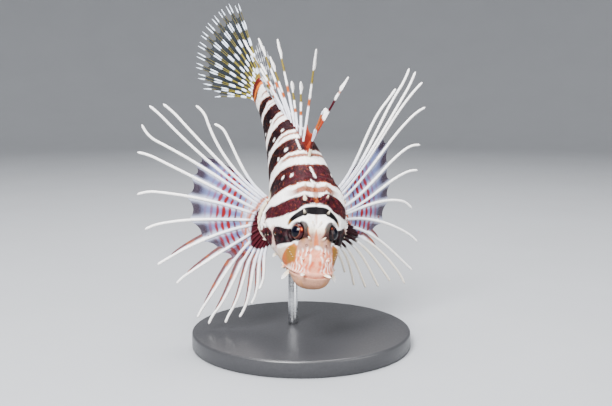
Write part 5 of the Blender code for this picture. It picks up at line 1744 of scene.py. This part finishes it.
def soft_colour(base, spot_colour, spacing, alpha):
    """A colouring for a soft fin with pale spots on its rays and webs."""
    def colour(i, t, across, reach, out):
        edge = np.minimum(across, 1 - across)
        on_ray = ramp(edge, 0.12, 0.04)
        dash = 0.5 + 0.5 * np.cos(2 * np.pi * reach / spacing + 1.3 * i)
        spots = ramp(edge, 0.3, 0.1) * ramp(dash, 0.55, 0.8)
        shade = lay(plain(t, base), spot_colour, 0.25 * on_ray)
        return with_alpha(lay(shade, spot_colour, spots), alpha + (1 - alpha) * np.maximum(on_ray, spots))

    return colour


# Pale spots along the tail's rays: distance between them, half length, distance of the last one from the tip;
# and the share of a ray at which it forks, and the steps of a ray's branch
TAIL_SPOTS, TAIL_SPOT_HALF, TAIL_TIP, TAIL_FORK = 8.8, 2.1, 1.3, 0.42
TAIL_STEPS = 110


def tail_spots(reach, length, i):
    """Above 0 in the pale spots along a tail ray, which count back from its tip, and 1 in their middles."""
    shift = 1.5 * np.sin(i * 2.1) * ramp(reach, length, length - 8.0)
    back = (length - reach - TAIL_TIP - shift) % TAIL_SPOTS
    return 1 - np.minimum(back, TAIL_SPOTS - back) / TAIL_SPOT_HALF


def tail_colour(i, t, across, reach, out):
    """The colours of the tail fin's webs: smoky and clear, with pale spots beside the rays."""
    lengths = np.array(CAUDAL_LENGTHS, float)
    length = lengths[i] + (lengths[min(i + 1, len(lengths) - 1)] - lengths[i]) * across
    edge = np.minimum(across, 1 - across)
    spots = ramp(tail_spots(reach, length, i), -0.1, 0.1) * ramp(edge, 0.14, 0.05) * ramp(t, 0.35, 0.15)
    colour = lay(plain(t, TAIL_SMOKE), OLIVE, 0.5 * ramp(t, 0.45, 0.1))
    colour = lay(colour, FIN_BLUE_WHITE, spots)
    return with_alpha(colour, 0.95 - 0.45 * ramp(out, 0.65, 1.0) + 0.05 * spots)


def tail_ray_colour(t, length, i):
    """The colours along a tail ray: olive, paler towards its tip, with white spots."""
    colour = lay(plain(t, OLIVE_BRIGHT), OLIVE_DARK, ramp(t, 0.45, 0.95))
    colour = lay(colour, ORANGE_BROWN, 0.6 * ramp(t, 0.2, 0.05))
    return with_alpha(lay(colour, FIN_BLUE_WHITE, ramp(tail_spots(t * length, length, i), -0.1, 0.1)))


def build_tail():
    """The tail fin: forked rays with paired pale spots, and clear webs between them."""
    rays = caudal_rays()
    mesh = Mesh()
    add_webs(mesh, rays, tail_colour, across=12, thick=0.12, scallop=0.3)
    t = np.linspace(0, 1, TAIL_STEPS)
    fork = np.clip((t - TAIL_FORK) / (1 - TAIL_FORK), 0, 1) * ramp(t, TAIL_FORK, TAIL_FORK + 0.15)
    for i, ray in enumerate(rays):
        before, after = beside(rays, i)
        rays_apart = 2 if 0 < i < len(rays) - 1 else 1
        gap = np.linalg.norm(after["path"](t) - before["path"](t), axis=-1) / rays_apart
        middle = ray["path"](t)
        side, _ = path_frames(middle, ray["normal"])
        spots = tail_spots(t * ray["length"], ray["length"], i)
        swell = 1 + 0.95 * np.sqrt(np.clip(1 - (1 - spots) ** 2, 0, 1)) * (spots > 0)
        radii = (0.33 - 0.10 * t) * swell * np.clip((1 - t) * 12 + 0.2, 0, 1)
        shades, places = tail_ray_colour(t, ray["length"], i), ray_places(i, column_width(rays), t)
        for branch in (-1, 1):
            path = middle + side * (branch * (0.17 + 0.17 * gap * fork))[:, None]
            add_tube(mesh, path, radii, shades, ray["normal"], places, flat=0.7)
    mesh.build("fin_tail", fin_paint, "fin", "tail_fin")


for side, word in SIDES:
    pectoral = pectoral_rays(side)
    name, node_name = "fin_pectoral_" + word, "pectoral_fin_" + word
    fin_piece(name, pectoral, pectoral_colour(side), node_name, across=10, step=0.3, scale=1.2, swell=0.35)
    build_edgings("fin_pectoral_edging_" + word, pectoral, *EDGINGS[side])
    pelvic_colour = soft_colour(RED_BROWN, FIN_WHITE, 6.0, 0.9)
    fin_piece("fin_pelvic_" + word, pelvic_rays(side), pelvic_colour, "pelvic_fin_" + word)
spines = dorsal_rays()
fin_piece("fin_dorsal_spines", spines, dorsal_colour, "dorsal_spines")
build_banners(spines)
soft_rays = midline_rays(*SOFT_DORSAL_RAYS, below=False)
fin_piece("fin_soft_dorsal", soft_rays, soft_colour(SOFT_SMOKE, SOFT_SPOT, 5.0, 0.5), "soft_dorsal_fin")
anal_rays = midline_rays(*ANAL_RAYS, below=True)
fin_piece("fin_anal", anal_rays, soft_colour(ANAL_SMOKE, ANAL_SPOT, 5.0, 0.6), "anal_fin")
build_tail()


# Stand
BASE_RADIUS, BASE_THICKNESS, BASE_BEVEL = 55.0, 8.0, 1.2
BASE_FOOT_BEVEL, BASE_INNER_RADIUS, BASE_SIDES = 0.6, 20.0, 180
ROD_RADIUS, ROD_AT, ROD_TOP, ROD_SUNK, ROD_SIDES = 2.4, 60.0, -12.0, 0.5, 48


def turned(mesh, profile_points, sides, middle=(0.0, 0.0)):
    """Adds a closed turned form from pairs of radius and height."""
    a = np.linspace(0, 2 * np.pi, sides, endpoint=False)
    radius, height = np.array(profile_points, float).T[..., None]
    x, y = middle[0] + radius * np.cos(a), middle[1] + radius * np.sin(a)
    points = np.stack([x, y, np.broadcast_to(height, x.shape)], -1).reshape(-1, 3)
    ends = [[*middle, height[0, 0]], [*middle, height[-1, 0]]]
    places = np.stack([np.broadcast_to(a / MAP_TURN, x.shape), np.broadcast_to(height / 80.0, x.shape)], -1)
    places = np.concatenate([places.reshape(-1, 2), [[0.5, 0.999], [0.5, 0.001]]])
    mesh.add(np.concatenate([points, ends]), capped(len(radius), sides), (0.5, 0.5, 0.5, 1.0), places)


def stand_material(name, colour, roughness, metallic, scale, stretch):
    """A plain satin or brushed material with fine grain."""
    made, tree, shader = shader_of(name, roughness, metallic=metallic)
    stretched = node(tree, "ShaderNodeMapping", Scale=stretch)
    tree.links.new(place_node(tree), stretched.inputs["Vector"])
    shade, noise = mottled(tree, flat_colour(tree, colour), stretched.outputs["Vector"], scale, 0.85, 1.15)
    tree.links.new(shade, shader.inputs["Base Color"])
    rough_from(tree, shader, noise, roughness - 0.05, roughness + 0.08)
    add_bump(tree, shader, noise, 0.08, 0.0001)
    return made


def build_stand():
    """The round base with its bevelled edge, and the rod that reaches into the belly."""
    black = stand_material("stand_black", (0.030, 0.030, 0.033), 0.34, 0.0, 900.0, (1, 1, 1))
    steel = stand_material("stand_steel", (0.60, 0.61, 0.63), 0.28, 1.0, 300.0, (1, 1, 8))
    outline = [(BASE_INNER_RADIUS, 0.0), (BASE_RADIUS - BASE_FOOT_BEVEL, 0.0), (BASE_RADIUS, BASE_FOOT_BEVEL)]
    for a in np.linspace(0, math.pi / 2, 8):
        inward, down = BASE_BEVEL * (1 - math.cos(a)), BASE_BEVEL * (1 - math.sin(a))
        outline.append((BASE_RADIUS - inward, BASE_THICKNESS - down))
    outline.append((BASE_INNER_RADIUS, BASE_THICKNESS))
    base = Mesh()
    turned(base, outline, BASE_SIDES)
    base.build("stand_base_turned", black, "stand_base", "stand_base", in_fish=False)
    belly = posed(at(ROD_AT, 0.0, ROD_TOP)) / MM
    heights = (BASE_THICKNESS - ROD_SUNK, BASE_THICKNESS + 4, belly[2])
    rod = Mesh()
    turned(rod, [(ROD_RADIUS, height) for height in heights], ROD_SIDES, belly[:2])
    rod.build("stand_rod_steel", steel, "stand_rod", "stand_rod", in_fish=False)


build_stand()


# Floor, lights and camera, in metres
FLOOR_FLAT, FLOOR_RADIUS, COVE_RADIUS, WALL_HEIGHT, FLOOR_SIDES = 0.4, 1.3, 0.7, 2.4, 96
FLOOR_GREY, FLOOR_DROP = (0.30, 0.31, 0.33), 0.0002


def build_floor():
    """A round grey floor, which curves up into a wall all round."""
    made, tree, shader = shader_of("floor_paint", 0.75)
    colour, _ = mottled(tree, flat_colour(tree, FLOOR_GREY), place_node(tree), 12.0, 0.98, 1.02)
    tree.links.new(colour, shader.inputs["Base Color"])
    outline = [(0.001, 0.0), (FLOOR_FLAT, 0.0), (FLOOR_RADIUS, 0.0)]
    for a in np.linspace(0.1, math.pi / 2, 14):
        outline.append((FLOOR_RADIUS + COVE_RADIUS * math.sin(a), COVE_RADIUS * (1 - math.cos(a))))
    outline.append((FLOOR_RADIUS + COVE_RADIUS, WALL_HEIGHT))
    rounds = np.linspace(0, 2 * math.pi, FLOOR_SIDES, endpoint=False)
    corners = [(r * math.cos(a), r * math.sin(a), z - FLOOR_DROP) for r, z in outline for a in rounds]
    mesh = bpy.data.meshes.new("floor")
    mesh.from_pydata(corners, [], weave(len(outline), FLOOR_SIDES).tolist())
    mesh.polygons.foreach_set("use_smooth", [True] * len(mesh.polygons))
    mesh.materials.append(made)
    floor = bpy.data.objects.new("floor", mesh)
    bpy.context.scene.collection.objects.link(floor)


build_floor()

# What the lights look at; and for each light its name, place, size and power
TARGET = Vector((0.0, 0.0, 0.09))
LIGHTS = (
    ("key", (-0.25, -0.7, 0.75), 0.4, 43.0),
    ("fill", (0.8, -0.5, 0.35), 0.7, 8.0),
    ("top", (0.0, 0.25, 1.0), 0.6, 20.0),
)
SKY_COLOUR, SKY_STRENGTH = (0.85, 0.88, 0.92, 1.0), 0.4


def area_light(name, place, size, power):
    """A square soft light that looks at the fish."""
    lamp = bpy.data.lights.new(name, "AREA")
    lamp.size, lamp.energy = size, power
    obj = bpy.data.objects.new(name, lamp)
    obj.location = place
    obj.rotation_mode = "QUATERNION"
    obj.rotation_quaternion = (TARGET - Vector(place)).to_track_quat("-Z", "Y")
    bpy.context.scene.collection.objects.link(obj)


for light in LIGHTS:
    area_light(*light)
world = bpy.data.worlds.new("studio")
bpy.context.scene.world = world
world.use_nodes = True
world.node_tree.nodes["Background"].inputs["Color"].default_value = SKY_COLOUR
world.node_tree.nodes["Background"].inputs["Strength"].default_value = SKY_STRENGTH

CAMERA_AT, CAMERA_DOWN, CAMERA_LENS = (0.002395, -0.441239, 0.133789), 8.0, 52.7
camera_data = bpy.data.cameras.new("camera")
camera_data.lens = CAMERA_LENS
camera_data.sensor_width = 36.0
camera = bpy.data.objects.new("camera", camera_data)
camera.location = CAMERA_AT
camera.rotation_euler = (math.radians(90.0 - CAMERA_DOWN), 0.0, 0.0)
bpy.context.scene.collection.objects.link(camera)
bpy.context.scene.camera = camera
